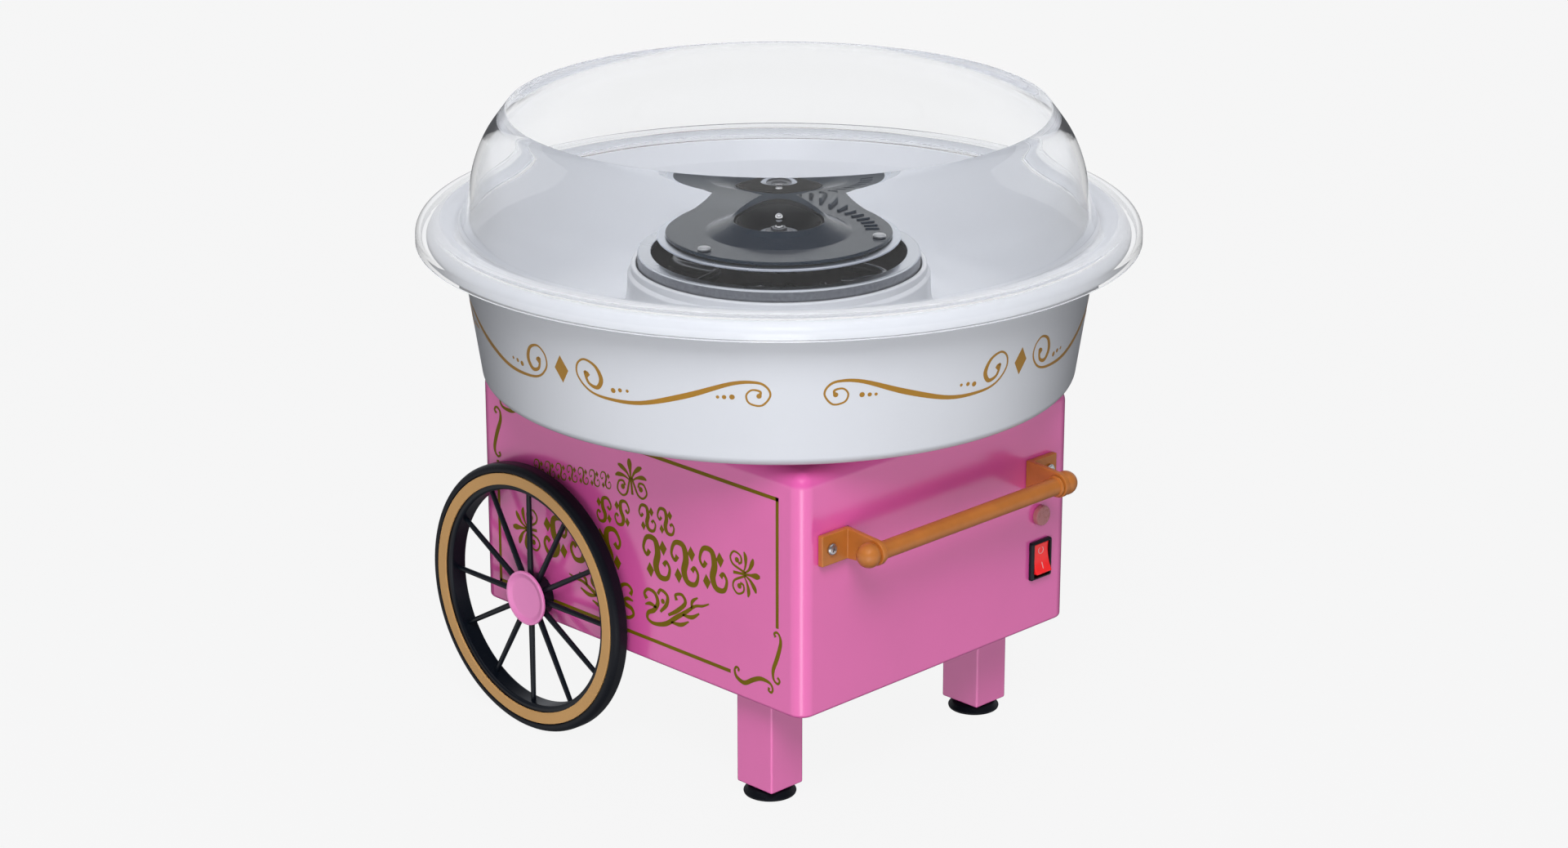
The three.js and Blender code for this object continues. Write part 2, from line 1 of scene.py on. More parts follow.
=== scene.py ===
# A small cart-shaped cotton candy machine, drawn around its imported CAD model.
# Shapes are drawn in millimetres and scaled to metres as each piece is made.
import json
from math import asin, cos, degrees, hypot, pi, radians, sin, tan

import bmesh
import bpy
from mathutils import Matrix, Vector


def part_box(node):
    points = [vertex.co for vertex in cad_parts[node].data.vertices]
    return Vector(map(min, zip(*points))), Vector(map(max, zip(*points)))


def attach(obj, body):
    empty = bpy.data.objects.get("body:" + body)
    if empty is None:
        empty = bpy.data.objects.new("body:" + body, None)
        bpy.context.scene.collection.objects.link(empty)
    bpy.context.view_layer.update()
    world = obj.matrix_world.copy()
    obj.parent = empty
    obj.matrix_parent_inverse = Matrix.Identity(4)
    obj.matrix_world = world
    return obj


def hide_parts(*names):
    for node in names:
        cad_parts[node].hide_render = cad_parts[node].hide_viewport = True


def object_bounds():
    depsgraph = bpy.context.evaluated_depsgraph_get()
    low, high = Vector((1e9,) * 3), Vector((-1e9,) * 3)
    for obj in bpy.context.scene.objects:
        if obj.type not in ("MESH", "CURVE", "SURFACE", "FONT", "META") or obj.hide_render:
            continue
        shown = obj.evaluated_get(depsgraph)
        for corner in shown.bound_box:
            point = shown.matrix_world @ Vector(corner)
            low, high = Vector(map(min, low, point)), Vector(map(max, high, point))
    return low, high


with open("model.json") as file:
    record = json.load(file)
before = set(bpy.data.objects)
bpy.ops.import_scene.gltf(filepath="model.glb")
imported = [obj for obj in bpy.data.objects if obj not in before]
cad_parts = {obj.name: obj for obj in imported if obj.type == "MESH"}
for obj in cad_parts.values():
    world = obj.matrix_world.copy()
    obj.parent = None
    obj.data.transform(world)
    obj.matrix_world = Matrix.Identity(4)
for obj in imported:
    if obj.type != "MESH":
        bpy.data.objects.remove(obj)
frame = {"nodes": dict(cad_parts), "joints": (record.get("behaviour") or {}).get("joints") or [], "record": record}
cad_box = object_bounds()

MM = 0.001
TINY = 0.001  # millimetres that count as nothing
GAP = 0.3  # between pieces that touch
ROUND, FINE = 160, 64  # sides of a large turned piece and of a small one
CREASE = 30  # degrees, the sharpest corner that is shaded smooth

# The cart: its and the legs' wall, the radius of its edges and of its lower edge, and its holes.
WALL, CART_EDGE, CART_LIP = 2, 6.5, 1.6
AXLE_BORE, LENS_HOLE, GLAND_HOLE, SHAFT_HOLE = 3.3, 3.3, 4.8, 20
SWITCH_HOLE = (5.8, 8.1)  # half its width and height
HOLE_REACH = 6  # how far a tool that cuts a hole reaches to either side of the wall

# The wheels, with heights measured outwards from the rim's inner face.
RIM_INNER, RIM_OUTER, RIM_DEEP = 46.2, 53, 8.4
TYRE_OUTER, TYRE_FACE = 57.3, 9.4
HUB, HUB_PROUD, HUB_FACE = 9, 0.5, 5.6
SPOKES, SPOKE_FROM, SPOKE_LONG, SPOKE_HIGH = 12, 8, 39.4, 4.3

# The handle: the radii of its bar, of the bar's collars and of its ends, and of the brackets' round ends.
BAR, COLLAR, SPIGOT, ARM_END = 3.6, 4.4, 2.2, 5.2
ARM_THICK, FLANGE_THICK = 2.2, 2.5
BAR_HOLE, SCREW_HOLE = 2.5, 1.6

# The bowl: its wall's radius at its foot and top, and its height.
BOWL_LOW, BOWL_HIGH, BOWL_TALL = 120.15, 128.4, 56.3
BOWL_SIDES = 256

# The clear guard: its wall's thickness, and how far below its lip it thins quickly, and gently.
GUARD_THICK = 2.3
LIP_NEAR, LIP_FAR = 5.5, 20
THIN_NEAR, THIN_FAR = 0.88, 0.9  # by how much

# The heater and the head.
RING_PROUD = 2.4  # how far the drum's rolled ring stands above its wall
WELL_FLOOR, WELL_REACH, WELL_BORE, WELL_THICK = 38.7, 51.7, 7, 1.2
PLATE_TOP = 208.3
COVER_THICK = 1.3
RIBS, RIBS_FROM, RIBS_TO = 14, 52, -42  # how many, and the headings of the first and the last

# The prints.
PRINT = 0.06  # how far a print stands proud of what it is printed on
# The bowl's print: the first diamond's heading, its height above the foot, and the radius it is drawn for.
BOWL_PRINT_HEADING, BOWL_PRINT_LEVEL, BOWL_PRINT_REACH = 3.3, 30.3, 124.5
SIDE_PRINT_Y = 6.3  # where the middle of the cart's side print is
GROUP_SLANT = 7  # degrees by which the ornaments on the cart's sides climb
GROUP_SPOT = (1.5, 90.2)  # their middle: along the side, and its height

# The camera, in degrees and metres. It aims at a height, a little to the right of the axis.
CAMERA_AZIMUTH, CAMERA_ELEVATION, CAMERA_DISTANCE = -44.955, 19.224, 1.51524
CAMERA_AIM, CAMERA_RIGHT = 0.127143, 0.00203
CAMERA_LENS, CAMERA_SENSOR = 84.75, 36  # in millimetres

RECORD = frame["record"]
BODY_OF = {node: body for body, nodes in RECORD["behaviour"]["bodies"].items() for node in nodes}
SLOT_OF = {part["node"]: part["material_slot"] for part in RECORD["subparts"]}
SIDES = (("left", -1), ("right", 1))

ALONG_X = Matrix.Rotation(pi / 2, 4, "Y")  # lays +Z along +X
TO_FRONT = Matrix.Rotation(pi / 2, 4, "X")  # lays +Z along -Y
DOWN = Matrix.Rotation(pi, 4, "X")  # lays +Z along -Z
shift = Matrix.Translation
OUTWARDS = {1: ALONG_X, -1: Matrix.Rotation(pi, 4, "Z") @ ALONG_X}  # lays +Z along +X or -X


# Outlines. A corner is (x, y) or (x, y, radius), and a profile's points are (radius, height).
def fillet(corners, coarse=12):
    """Rounds the corners of a closed outline that have a radius, in steps of about coarse degrees."""
    line = []
    for i, corner in enumerate(corners):
        here = Vector(corner[:2])
        radius = corner[2] if len(corner) > 2 else 0
        if not radius:
            line.append(tuple(here))
            continue
        back = (Vector(corners[i - 1][:2]) - here).normalized()
        ahead = (Vector(corners[(i + 1) % len(corners)][:2]) - here).normalized()
        half = back.angle(ahead) / 2
        centre = here + (back + ahead).normalized() * (radius / sin(half))
        first = here + back * (radius / tan(half)) - centre
        turn = pi - 2 * half
        if back.x * ahead.y - back.y * ahead.x > 0:
            turn = -turn
        steps = max(2, round(abs(degrees(turn)) / coarse))
        for k in range(steps + 1):
            spot = centre + Matrix.Rotation(turn * k / steps, 2) @ first
            line.append((spot.x, spot.y))
    return line


def curve_through(points, per_span=8):
    """A smooth line through points of any number of coordinates."""
    points = [Vector(p) for p in points]
    line = []
    for i in range(len(points) - 1):
        b, c = points[i], points[i + 1]
        a = points[i - 1] if i else b * 2 - c
        d = points[i + 2] if i + 2 < len(points) else c * 2 - b
        for k in range(per_span):
            t = k / per_span
            square = (a * 2 - b * 5 + c * 4 - d) * t ** 2
            cube = (b * 3 - a - c * 3 + d) * t ** 3
            line.append((b * 2 + (c - a) * t + square + cube) / 2)
    line.append(points[-1])
    return line


def beside(line, widths):
    """The points of a flat line moved to its left by a width at each."""
    moved = []
    for i, point in enumerate(line):
        along = Vector(line[min(i + 1, len(line) - 1)][:2]) - Vector(line[max(i - 1, 0)][:2])
        left = Vector((-along.y, along.x)).normalized()
        moved.append(tuple(Vector(point[:2]) + left * widths[i]))
    return moved


# Solids, each added to a bmesh.
def turned(bm, profile, steps=ROUND, matrix=None):
    """Turns a closed profile, or one that starts and ends on the axis, about +Z."""
    rings = []
    for radius, height in profile:
        if radius < TINY:
            rings.append([bm.verts.new((0, 0, height))])
            continue
        angles = [2 * pi * i / steps for i in range(steps)]
        rings.append([bm.verts.new((radius * cos(a), radius * sin(a), height)) for a in angles])
    for low, high in zip(rings, rings[1:] + rings[:1]):
        for i in range(steps):
            j = (i + 1) % steps
            loop = [low[i % len(low)], low[j % len(low)], high[j % len(high)], high[i % len(high)]]
            loop = list(dict.fromkeys(loop))
            if len(loop) > 2:
                bm.faces.new(loop)
    if matrix is not None:
        bmesh.ops.transform(bm, matrix=matrix, verts=[v for ring in rings for v in ring])


def block(bm, low, high, radius=0.0, steps=4, chosen=None, matrix=None):
    """A block with its edges rounded, or only the edges for which chosen(direction, offset) is true."""
    low, high = Vector(low), Vector(high)
    centre = (low + high) / 2
    place = shift(centre) @ Matrix.Diagonal((*(high - low), 1))
    made = bmesh.ops.create_cube(bm, size=1, matrix=place)["verts"]
    verts = set(made)
    if radius:
        edges = {e for v in made for e in v.link_edges}
        if chosen:
            ends = {e: [v.co for v in e.verts] for e in edges}
            edges = {e for e, (a, b) in ends.items() if chosen(b - a, (a + b) / 2 - centre)}
        done = bmesh.ops.bevel(bm, geom=list(edges), offset=radius, segments=steps, profile=0.5,
                               affect="EDGES")
        verts = {v for v in verts if v.is_valid} | set(done["verts"])
    if matrix is not None:
        bmesh.ops.transform(bm, matrix=matrix, verts=list(verts))


def upright_or_top(along, offset):
    """Chooses a block's upright edges and those round its top."""
    return abs(along.z) > 1 or offset.z > 0


def rod(bm, radius, reach, place):
    """A plain cylinder that reaches equally far to either side of a place."""
    turned(bm, [(0, -reach), (radius, -reach), (radius, reach), (0, reach)], FINE, place)


def prism(bm, outline, depth, matrix=None):
    """A flat outline in the XY plane, given thickness from z = 0 to depth."""
    bottom = [bm.verts.new((x, y, 0)) for x, y in outline]
    top = [bm.verts.new((x, y, depth)) for x, y in outline]
    bm.faces.new(bottom)
    bm.faces.new(top[::-1])
    for i in range(len(outline)):
        j = (i + 1) % len(outline)
        bm.faces.new((bottom[i], top[i], top[j], bottom[j]))
    if matrix is not None:
        bmesh.ops.transform(bm, matrix=matrix, verts=bottom + top)


def tube_along(bm, line, radius, steps=14):
    """A round tube along a line of points, with flat ends."""
    line = [Vector(p) for p in line]
    rings = []
    side = Vector((0, 0, 1))
    for i, point in enumerate(line):
        along = (line[min(i + 1, len(line) - 1)] - line[max(i - 1, 0)]).normalized()
        side = (side - along * side.dot(along)).normalized()
        up = along.cross(side)
        angles = [2 * pi * k / steps for k in range(steps)]
        spokes = [(side * cos(a) + up * sin(a)) * radius for a in angles]
        rings.append([bm.verts.new(point + spoke) for spoke in spokes])
    for low, high in zip(rings, rings[1:]):
        for i in range(steps):
            j = (i + 1) % steps
            bm.faces.new((low[i], low[j], high[j], high[i]))
    bm.faces.new(rings[0][::-1])
    bm.faces.new(rings[-1])


def new_object(name, data):
    added = bpy.data.objects.new(name, data)
    bpy.context.scene.collection.objects.link(added)
    return added


def piece_from(bm, name, material):
    """Makes an object of a bmesh drawn in millimetres."""
    bmesh.ops.recalc_face_normals(bm, faces=bm.faces)
    bm.transform(Matrix.Scale(MM, 4))
    mesh = bpy.data.meshes.new(name)
    bm.to_mesh(mesh)
    bm.free()
    piece = new_object(name, mesh)
    piece.data.materials.append(material)
    shade(piece)
    return piece


def shade(piece):
    """Smooth shading with sharp creases, where flat faces stay flat."""
    piece.data.shade_smooth()
    piece.data.set_sharp_from_angle(angle=radians(CREASE))
    if "flat_faces" not in piece.modifiers:
        flat = piece.modifiers.new("flat_faces", "WEIGHTED_NORMAL")
        flat.keep_sharp = True


def carve(piece, cutter, operation="DIFFERENCE"):
    """Cuts the solids of a bmesh from a piece, or joins them to it."""
    tool = piece_from(cutter, "tool", piece.data.materials[0])
    tool.modifiers.clear()
    piece.modifiers.clear()
    change = piece.modifiers.new("carve", "BOOLEAN")
    change.operation = operation
    change.object = tool
    change.solver = "EXACT"
    change.use_self = operation == "UNION"
    graph = bpy.context.evaluated_depsgraph_get()
    mesh = bpy.data.meshes.new_from_object(piece.evaluated_get(graph))
    piece.modifiers.clear()
    piece.data = mesh
    bpy.data.objects.remove(tool)
    shade(piece)
    return piece


def soften(piece, radius, sharpest=CREASE, harden=False):
    """Rounds the edges where a piece's faces meet at more than an angle."""
    edges = piece.modifiers.new("edges", "BEVEL")
    edges.width = radius * MM
    edges.segments = 3
    edges.limit_method = "ANGLE"
    edges.angle_limit = radians(sharpest)
    edges.harden_normals = harden


def stand_in(piece, *nodes):
    """The piece takes the place and the body of CAD nodes, which it hides."""
    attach(piece, BODY_OF[nodes[0]])
    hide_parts(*nodes)
    return piece


def extent(node):
    """A CAD node's lowest and highest corners, in millimetres."""
    low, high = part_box(node)
    return low / MM, high / MM


def middle(node):
    low, high = extent(node)
    return (low + high) / 2


def tallness(node):
    low, high = extent(node)
    return high.z - low.z


def turned_at(place, name, material, profile, steps=FINE):
    """A turned piece at a place."""
    bm = bmesh.new()
    turned(bm, profile, steps, place)
    return piece_from(bm, name, material)


def turned_piece(node, profile, material, steps, name):
    """A turned piece on a node's own upright axis, with heights measured from the node's foot."""
    centre = middle(node)
    foot_at = shift((centre.x, centre.y, extent(node)[0].z))
    return stand_in(turned_at(foot_at, name, material, profile, steps), node)


# Materials.
def surface(name, colour, rough, metal=0, mottle=0.04, drift=0.05, grain=900, bump=0.02, patch=18,
            **sockets):
    """A finish whose colour and gloss drift slightly and whose skin has a fine grain."""
    material, nodes, links, shader = new_finish(name)
    where = nodes.new("ShaderNodeTexCoord").outputs["Object"]
    broad = noise(nodes, links, where, patch, 4)
    dark = [c * (1 - mottle) for c in colour]
    light = [min(1, c * (1 + mottle)) for c in colour]
    blend = nodes.new("ShaderNodeValToRGB")
    for stop, position, tone in zip(blend.color_ramp.elements, (0.3, 0.7), (dark, light)):
        stop.position = position
        stop.color = (*tone, 1)
    links.new(broad, blend.inputs["Fac"])
    links.new(blend.outputs["Color"], shader.inputs["Base Color"])
    fine = noise(nodes, links, where, patch * 2.3, 5)
    drifting_gloss(nodes, links, fine, max(0.01, rough - drift), rough + drift, shader)
    skin = nodes.new("ShaderNodeBump")
    set_inputs(skin, {"Strength": bump, "Distance": MM})
    links.new(noise(nodes, links, where, grain, 3), skin.inputs["Height"])
    links.new(skin.outputs["Normal"], shader.inputs["Normal"])
    set_inputs(shader, {"Metallic": metal})
    set_inputs(shader, {socket.replace("_", " "): value for socket, value in sockets.items()})
    return material


def noise(nodes, links, where, scale, detail):
    texture = nodes.new("ShaderNodeTexNoise")
    set_inputs(texture, {"Scale": scale, "Detail": detail})
    links.new(where, texture.inputs["Vector"])
    return texture.outputs["Fac"]


def clear_plastic(name):
    """Polished clear plastic whose gloss drifts very slightly."""
    material, nodes, links, shader = new_finish(name)
    set_inputs(shader, {"Base Color": (0.99, 0.995, 1.0, 1), "IOR": 1.49, "Transmission Weight": 1.0})
    where = nodes.new("ShaderNodeTexCoord").outputs["Object"]
    drifting_gloss(nodes, links, noise(nodes, links, where, 30, 4), 0.0, 0.01, shader)
    return material


def new_finish(name):
    material = bpy.data.materials.new(name)
    material.use_nodes = True
    nodes = material.node_tree.nodes
    return material, nodes, material.node_tree.links, nodes["Principled BSDF"]


def set_inputs(node, values):
    for name, value in values.items():
        node.inputs[name].default_value = value


def drifting_gloss(nodes, links, drift, smoothest, roughest, shader):
    gloss = nodes.new("ShaderNodeMapRange")
    set_inputs(gloss, {"To Min": smoothest, "To Max": roughest})
    links.new(drift, gloss.inputs["Value"])
    links.new(gloss.outputs["Result"], shader.inputs["Roughness"])


PINK = surface("pink_plastic", (0.90, 0.125, 0.45), 0.2, mottle=0.03, drift=0.03, grain=1400, IOR=1.9)
HUB_PINK = surface("hub_pink", (0.97, 0.26, 0.60), 0.3, mottle=0.03, grain=1400, bump=0.03, IOR=1.8)
WHITE = surface("white_plastic", (0.80, 0.81, 0.83), 0.22, mottle=0.015, grain=1400, bump=0.03, IOR=1.6)
CLEAR = clear_plastic("clear_plastic")
BLACK = surface("black_plastic", (0.004, 0.006, 0.010), 0.3, mottle=0.2, grain=1200, bump=0.04,
                Specular_IOR_Level=0.25)
RUBBER = surface("rubber", (0.003, 0.004, 0.007), 0.4, mottle=0.25, grain=1000, bump=0.08,
                 Specular_IOR_Level=0.2)
TAN = surface("tan_paint", (0.66, 0.36, 0.12), 0.45, mottle=0.06, grain=1500, bump=0.05)
CARAMEL = surface("caramel_plastic", (0.55, 0.18, 0.03), 0.34, mottle=0.07, patch=140, grain=700, bump=0.06)
# The rocker's red plastic glows faintly: painted light, since the rocker holds no lamp.
RED_PAINTED_GLOW = surface("red_plastic_painted_glow", (1.0, 0.02, 0.022), 0.2, Emission_Color=(1, 0.01, 0.01, 1),
              Emission_Strength=0.14)
MARK = surface("pale_mark", (0.9, 0.55, 0.55), 0.4, mottle=0.05)
LENS = surface("lens_plastic", (0.54, 0.20, 0.20), 0.28, patch=300)
STEEL = surface("plated_steel", (0.62, 0.63, 0.65), 0.3, metal=1, mottle=0.08, grain=2500, bump=0.05)
SHAFT_STEEL = surface("ground_steel", (0.9, 0.9, 0.92), 0.18, metal=1, mottle=0.03, grain=2500)
HEAD_METAL = surface("spun_plate", (0.70, 0.74, 0.82), 0.28, metal=1, mottle=0.05, grain=1800, bump=0.05)
DRUM_METAL = surface("drum_metal", (0.32, 0.33, 0.36), 0.42, metal=1, mottle=0.12, patch=700, grain=1500,
                     bump=0.12)
RING_METAL = surface("ring_metal", (0.66, 0.69, 0.75), 0.26, metal=1, mottle=0.05, grain=2000, bump=0.05)
SLATE = surface("slate_coating", (0.005, 0.011, 0.023), 0.15, mottle=0.1, drift=0.03, grain=1600, bump=0.03,
                IOR=1.38, Specular_Tint=(0.6, 0.82, 1.0, 1))
# Painted shade: the funnel inside the cover's mouth is near black and has little gloss, for the shade inside the
# hole.
FUNNEL_SHADE = surface("funnel_painted_shade", (0.001, 0.001, 0.002), 0.35, mottle=0.2, grain=1600, bump=0.04,
                Specular_IOR_Level=0.1)
# The well is near black with a strong mottle.
WELL = surface("near_black_mottled_well", (0.012, 0.005, 0.008), 0.6, mottle=0.7, patch=900, bump=0.2,
               Specular_IOR_Level=0.15)
ELEMENT = surface("element_sheath", (0.16, 0.165, 0.18), 0.24, metal=1, mottle=0.2, patch=60)
CERAMIC = surface("ceramic", (0.05, 0.045, 0.04), 0.6, mottle=0.08, grain=1500, bump=0.1)
BRONZE = surface("bronze", (0.45, 0.25, 0.1), 0.35, metal=1, mottle=0.1)
COPPER = surface("windings", (0.45, 0.16, 0.07), 0.35, metal=1, mottle=0.2, patch=400, bump=0.3)
BOARD = surface("board", (0.02, 0.12, 0.05), 0.4, mottle=0.15, patch=120)
GOLD_PRINT = surface("gold_print", (0.42, 0.20, 0.008), 0.35, mottle=0.06, patch=60)
OLIVE_PRINT = surface("olive_print", (0.20, 0.135, 0.001), 0.45, mottle=0.08, patch=60,
                      Specular_IOR_Level=0.15)
CAD_FINISH = {"black_plastic": BLACK, "steel": STEEL, "bronze": BRONZE, "copper": COPPER, "board": BOARD}


# The cart.
def cart_shell():
    low, high = extent("cart_shell")
    bm = bmesh.new()
    block(bm, low, high, CART_EDGE, 10, upright_or_top)
    rim = [e for e in bm.edges if all(abs(v.co.z - low.z) < TINY for v in e.verts)]
    bmesh.ops.bevel(bm, geom=rim, offset=CART_LIP, segments=4, profile=0.5, affect="EDGES")
    shell = piece_from(bm, "cart_body", PINK)
    hollow = bmesh.new()
    below = low + Vector((WALL, WALL, -10))
    block(hollow, below, high - Vector((WALL, WALL, WALL)), CART_EDGE - WALL, 6, upright_or_top)
    carve(shell, hollow)
    carve(shell, cart_holes(low, high))
    stand_in(shell, "cart_shell")


def cart_holes(low, high):
    """What the axle, the switch, the indicator, the cord and the shaft pass through."""
    holes = bmesh.new()
    rod(holes, AXLE_BORE, 90, shift(middle("axle")) @ ALONG_X)
    switch_at = middle("switch_bezel")
    wide, tall = SWITCH_HOLE
    block(holes, (switch_at.x - wide, low.y - HOLE_REACH, switch_at.z - tall),
          (switch_at.x + wide, low.y + HOLE_REACH, switch_at.z + tall))
    for node, radius, y in (("indicator_lens", LENS_HOLE, low.y), ("cord_gland", GLAND_HOLE, high.y)):
        centre = middle(node)
        rod(holes, radius, HOLE_REACH, shift((centre.x, y, centre.z)) @ TO_FRONT)
    rod(holes, SHAFT_HOLE, HOLE_REACH, shift((0, 0, high.z)))
    return holes


def leg(side):
    node = "leg_" + side
    low, high = extent(node)
    bm = bmesh.new()
    block(bm, low, high, 0.9, 4)
    column = piece_from(bm, "leg_column_" + side, PINK)
    hollow = bmesh.new()
    block(hollow, low + Vector((WALL, WALL, -2)), high - Vector((WALL, WALL, WALL)))
    stand_in(carve(column, hollow), node)


def foot(side):
    profile = fillet([(0, 0), (10.4, 0, 0.4), (10.7, 0.9, 0.5), (9.2, 3.2, 2), (7, 4, 1), (5.5, 4, 0.3),
                      (5.5, 12, 0.6), (0, 12)])
    turned_piece("foot_" + side, profile, RUBBER, FINE, "foot_pad_" + side)


# The wheels. Each is drawn with its outer face towards +X and turned round for the left side.
def wheel(side, sign):
    centre = middle("axle")
    low, high = extent("wheel_" + side)
    inner = low.x + HUB_PROUD if sign > 0 else high.x - HUB_PROUD
    place = shift((inner, centre.y, centre.z)) @ OUTWARDS[sign]

    profile = fillet([(RIM_INNER, 0, 1.3), (RIM_OUTER, 0, 0.3), (RIM_OUTER, RIM_DEEP, 0.2),
                      (RIM_INNER, RIM_DEEP, 1.3)])
    rim = turned_at(place, "wheel_frame_" + side, BLACK, profile, ROUND)
    stand_in(carve(rim, hub_and_spokes(place), "UNION"), "wheel_" + side)

    bed, shoulder = RIM_OUTER + GAP, RIM_OUTER + 0.8
    profile = fillet([(bed, 2.4, 0.3), (TYRE_OUTER, 2.4, 1.3), (TYRE_OUTER, TYRE_FACE, 2.6),
                      (shoulder, TYRE_FACE, 0.6), (shoulder, RIM_DEEP), (bed, RIM_DEEP)])
    stand_in(turned_at(place, "tyre_tread_" + side, RUBBER, profile, ROUND), "tyre_" + side)

    foot_at = RIM_DEEP + GAP
    profile = fillet([(48.7, foot_at), (53.5, foot_at), (53.5, TYRE_FACE, 0.25), (48.7, TYRE_FACE, 0.25)])
    stand_in(turned_at(place, "band_ring_" + side, TAN, profile, ROUND), "band_" + side)

    profile = fillet([(0, HUB_FACE + GAP), (10.4, HUB_FACE + GAP, 0.3), (11.6, 6.8, 0.4), (11.6, 7.9, 0.35),
                      (10.6, 7.9, 0.5), (8.6, 7.1, 2.5), (0, 6.9)])
    stand_in(turned_at(place, "hub_dish_" + side, HUB_PINK, profile), "hub_cap_" + side)


def hub_and_spokes(place):
    bm = bmesh.new()
    turned(bm, fillet([(AXLE_BORE, -HUB_PROUD, 0.3), (HUB, -HUB_PROUD, 0.5), (HUB, HUB_FACE, 0.5),
                       (AXLE_BORE, HUB_FACE, 0.3)]), FINE, place)
    upright = shift((0, SPOKE_FROM, SPOKE_HIGH)) @ Matrix.Rotation(-pi / 2, 4, "X")
    for i in range(SPOKES):
        turn = Matrix.Rotation(2 * pi * i / SPOKES, 4, "Z")
        turned(bm, [(0, 0), (1.3, 0), (1.05, SPOKE_LONG), (0, SPOKE_LONG)], 20, place @ (turn @ upright))
    return bm


# The handle.
def handle():
    centre = middle("handle_bar")
    arm = extent("handle_bracket_right")[0].x - GAP - centre.x
    reach = extent("handle_bar")[1].x - centre.x
    half = [(BAR, arm - 1.2), (COLLAR, arm - 1, 0.3), (COLLAR, arm, 0.3), (SPIGOT, arm), (SPIGOT, reach),
            (0, reach)]
    mirrored = [(r, -x, *rest) for r, x, *rest in reversed(half)]
    place = shift(centre) @ ALONG_X
    stand_in(turned_at(place, "handle_rod", CARAMEL, fillet(mirrored + half)), "handle_bar")
    for side, sign in SIDES:
        bracket(side, sign)
        knob(side, sign)
        handle_screw(side, sign)


def bracket(side, sign):
    """An angle plate: a flange on the cart and an arm with a round end."""
    node = "handle_bracket_" + side
    low, high = extent(node)
    bar = middle("handle_bar")
    inner = low.x if sign > 0 else high.x
    level = (low.z + high.z) / 2
    stand = Matrix(((0, 0, sign, inner), (-1, 0, 0, high.y), (0, 1, 0, level), (0, 0, 0, 1)))
    bm = bmesh.new()
    prism(bm, arm_outline(high.y - bar.y, (high.z - low.z) / 2), ARM_THICK, stand)
    arm = piece_from(bm, "bracket_" + side, CARAMEL)
    flange = bmesh.new()
    block(flange, (low.x, high.y - FLANGE_THICK, low.z), high)
    carve(arm, flange, "UNION")
    holes = bmesh.new()
    rod(holes, BAR_HOLE, 12, shift((inner, bar.y, bar.z)) @ ALONG_X)
    screw = middle("handle_screw_" + side)
    rod(holes, SCREW_HOLE, 12, shift((screw.x, high.y, screw.z)) @ TO_FRONT)
    carve(arm, holes)
    soften(arm, 0.45, harden=True)
    stand_in(arm, node)


def arm_outline(reach, half):
    """Distances forwards from the cart and heights above the bar, narrowing to a round end."""
    tilt = degrees(asin((half - ARM_END) / hypot(reach, half - ARM_END)))
    steps = 24
    turn = [radians(90 - tilt - i * (180 - 2 * tilt) / steps) for i in range(steps + 1)]
    arc = [(reach + ARM_END * cos(a), ARM_END * sin(a)) for a in turn]
    return [(0, -half), (0, half), (FLANGE_THICK, half), *arc, (FLANGE_THICK, -half)]


def knob(side, sign):
    """A ball on a short neck, open towards the bracket for the bar's end."""
    node = "handle_knob_" + side
    low, high = extent(node)
    centre = middle(node)
    flat = low.x if sign > 0 else high.x
    length = high.x - low.x
    ball = (high.z - low.z) / 2
    turn = [radians(a) for a in range(-42, 90, 4)]
    arc = [(ball * cos(a), length - ball + ball * sin(a)) for a in turn]
    neck = [(BAR_HOLE, 0), (4.2, 0), (4.3, 0.35), (3.9, 0.6)]
    place = shift((flat, centre.y, centre.z)) @ OUTWARDS[sign]
    profile = [(0, 3.4), (BAR_HOLE, 3.4), *neck, *arc, (0, length)]
    stand_in(turned_at(place, "knob_ball_" + side, CARAMEL, profile), node)


def domed_screw(name, node, radius, height, shank, length, place, cross=True):
    """A domed screw, with a cross cut in its head or plain. The head is up, with its underside at 0."""
    profile = fillet([(0, -length), (shank, -length, 0.3), (shank, 0), (radius, 0, 0.15),
                      (radius, height * 0.6, 0.3), (radius * 0.8, height, radius * 0.25), (0, height)])
    screw = turned_at(place, name, STEEL, profile, 40)
    half, wide = radius * 0.5, radius * 0.11
    for x, y in ((half, wide), (wide, half)) if cross else ():
        slot = bmesh.new()
        block(slot, (-x, -y, height * 0.45), (x, y, height + 1), matrix=place)
        carve(screw, slot)
    stand_in(screw, node)


def handle_screw(side, sign):
    node = "handle_screw_" + side
    centre = middle(node)
    face = extent("handle_bracket_" + side)[1].y - FLANGE_THICK - GAP
    place = shift((centre.x, face, centre.z)) @ TO_FRONT @ Matrix.Rotation(0.5 * sign, 4, "Z")
    domed_screw("flange_screw_" + side, node, 2.3, 1.3, 1.3, extent(node)[1].y - face, place)


# The switch and the indicator.
def switch():
    low, high = extent("switch_bezel")
    centre = middle("switch_bezel")
    face = extent("cart_shell")[0].y
    bm = bmesh.new()
    block(bm, (low.x, face - 2, low.z), (high.x, face - GAP, high.z), 0.9, 4,
          lambda along, offset: offset.y < 0 or abs(along.y) > 1)
    bezel = piece_from(bm, "bezel", BLACK)
    body, well = bmesh.new(), bmesh.new()
    block(body, (centre.x - 5.5, face - 1, centre.z - 7.8), (centre.x + 5.5, high.y, centre.z + 7.8), 0.4, 2)
    block(well, (centre.x - 4.8, face - 8, centre.z - 7.35), (centre.x + 4.8, face + 8, centre.z + 7.35),
          0.3, 2)
    carve(bezel, body, "UNION")
    stand_in(carve(bezel, well), "switch_bezel")


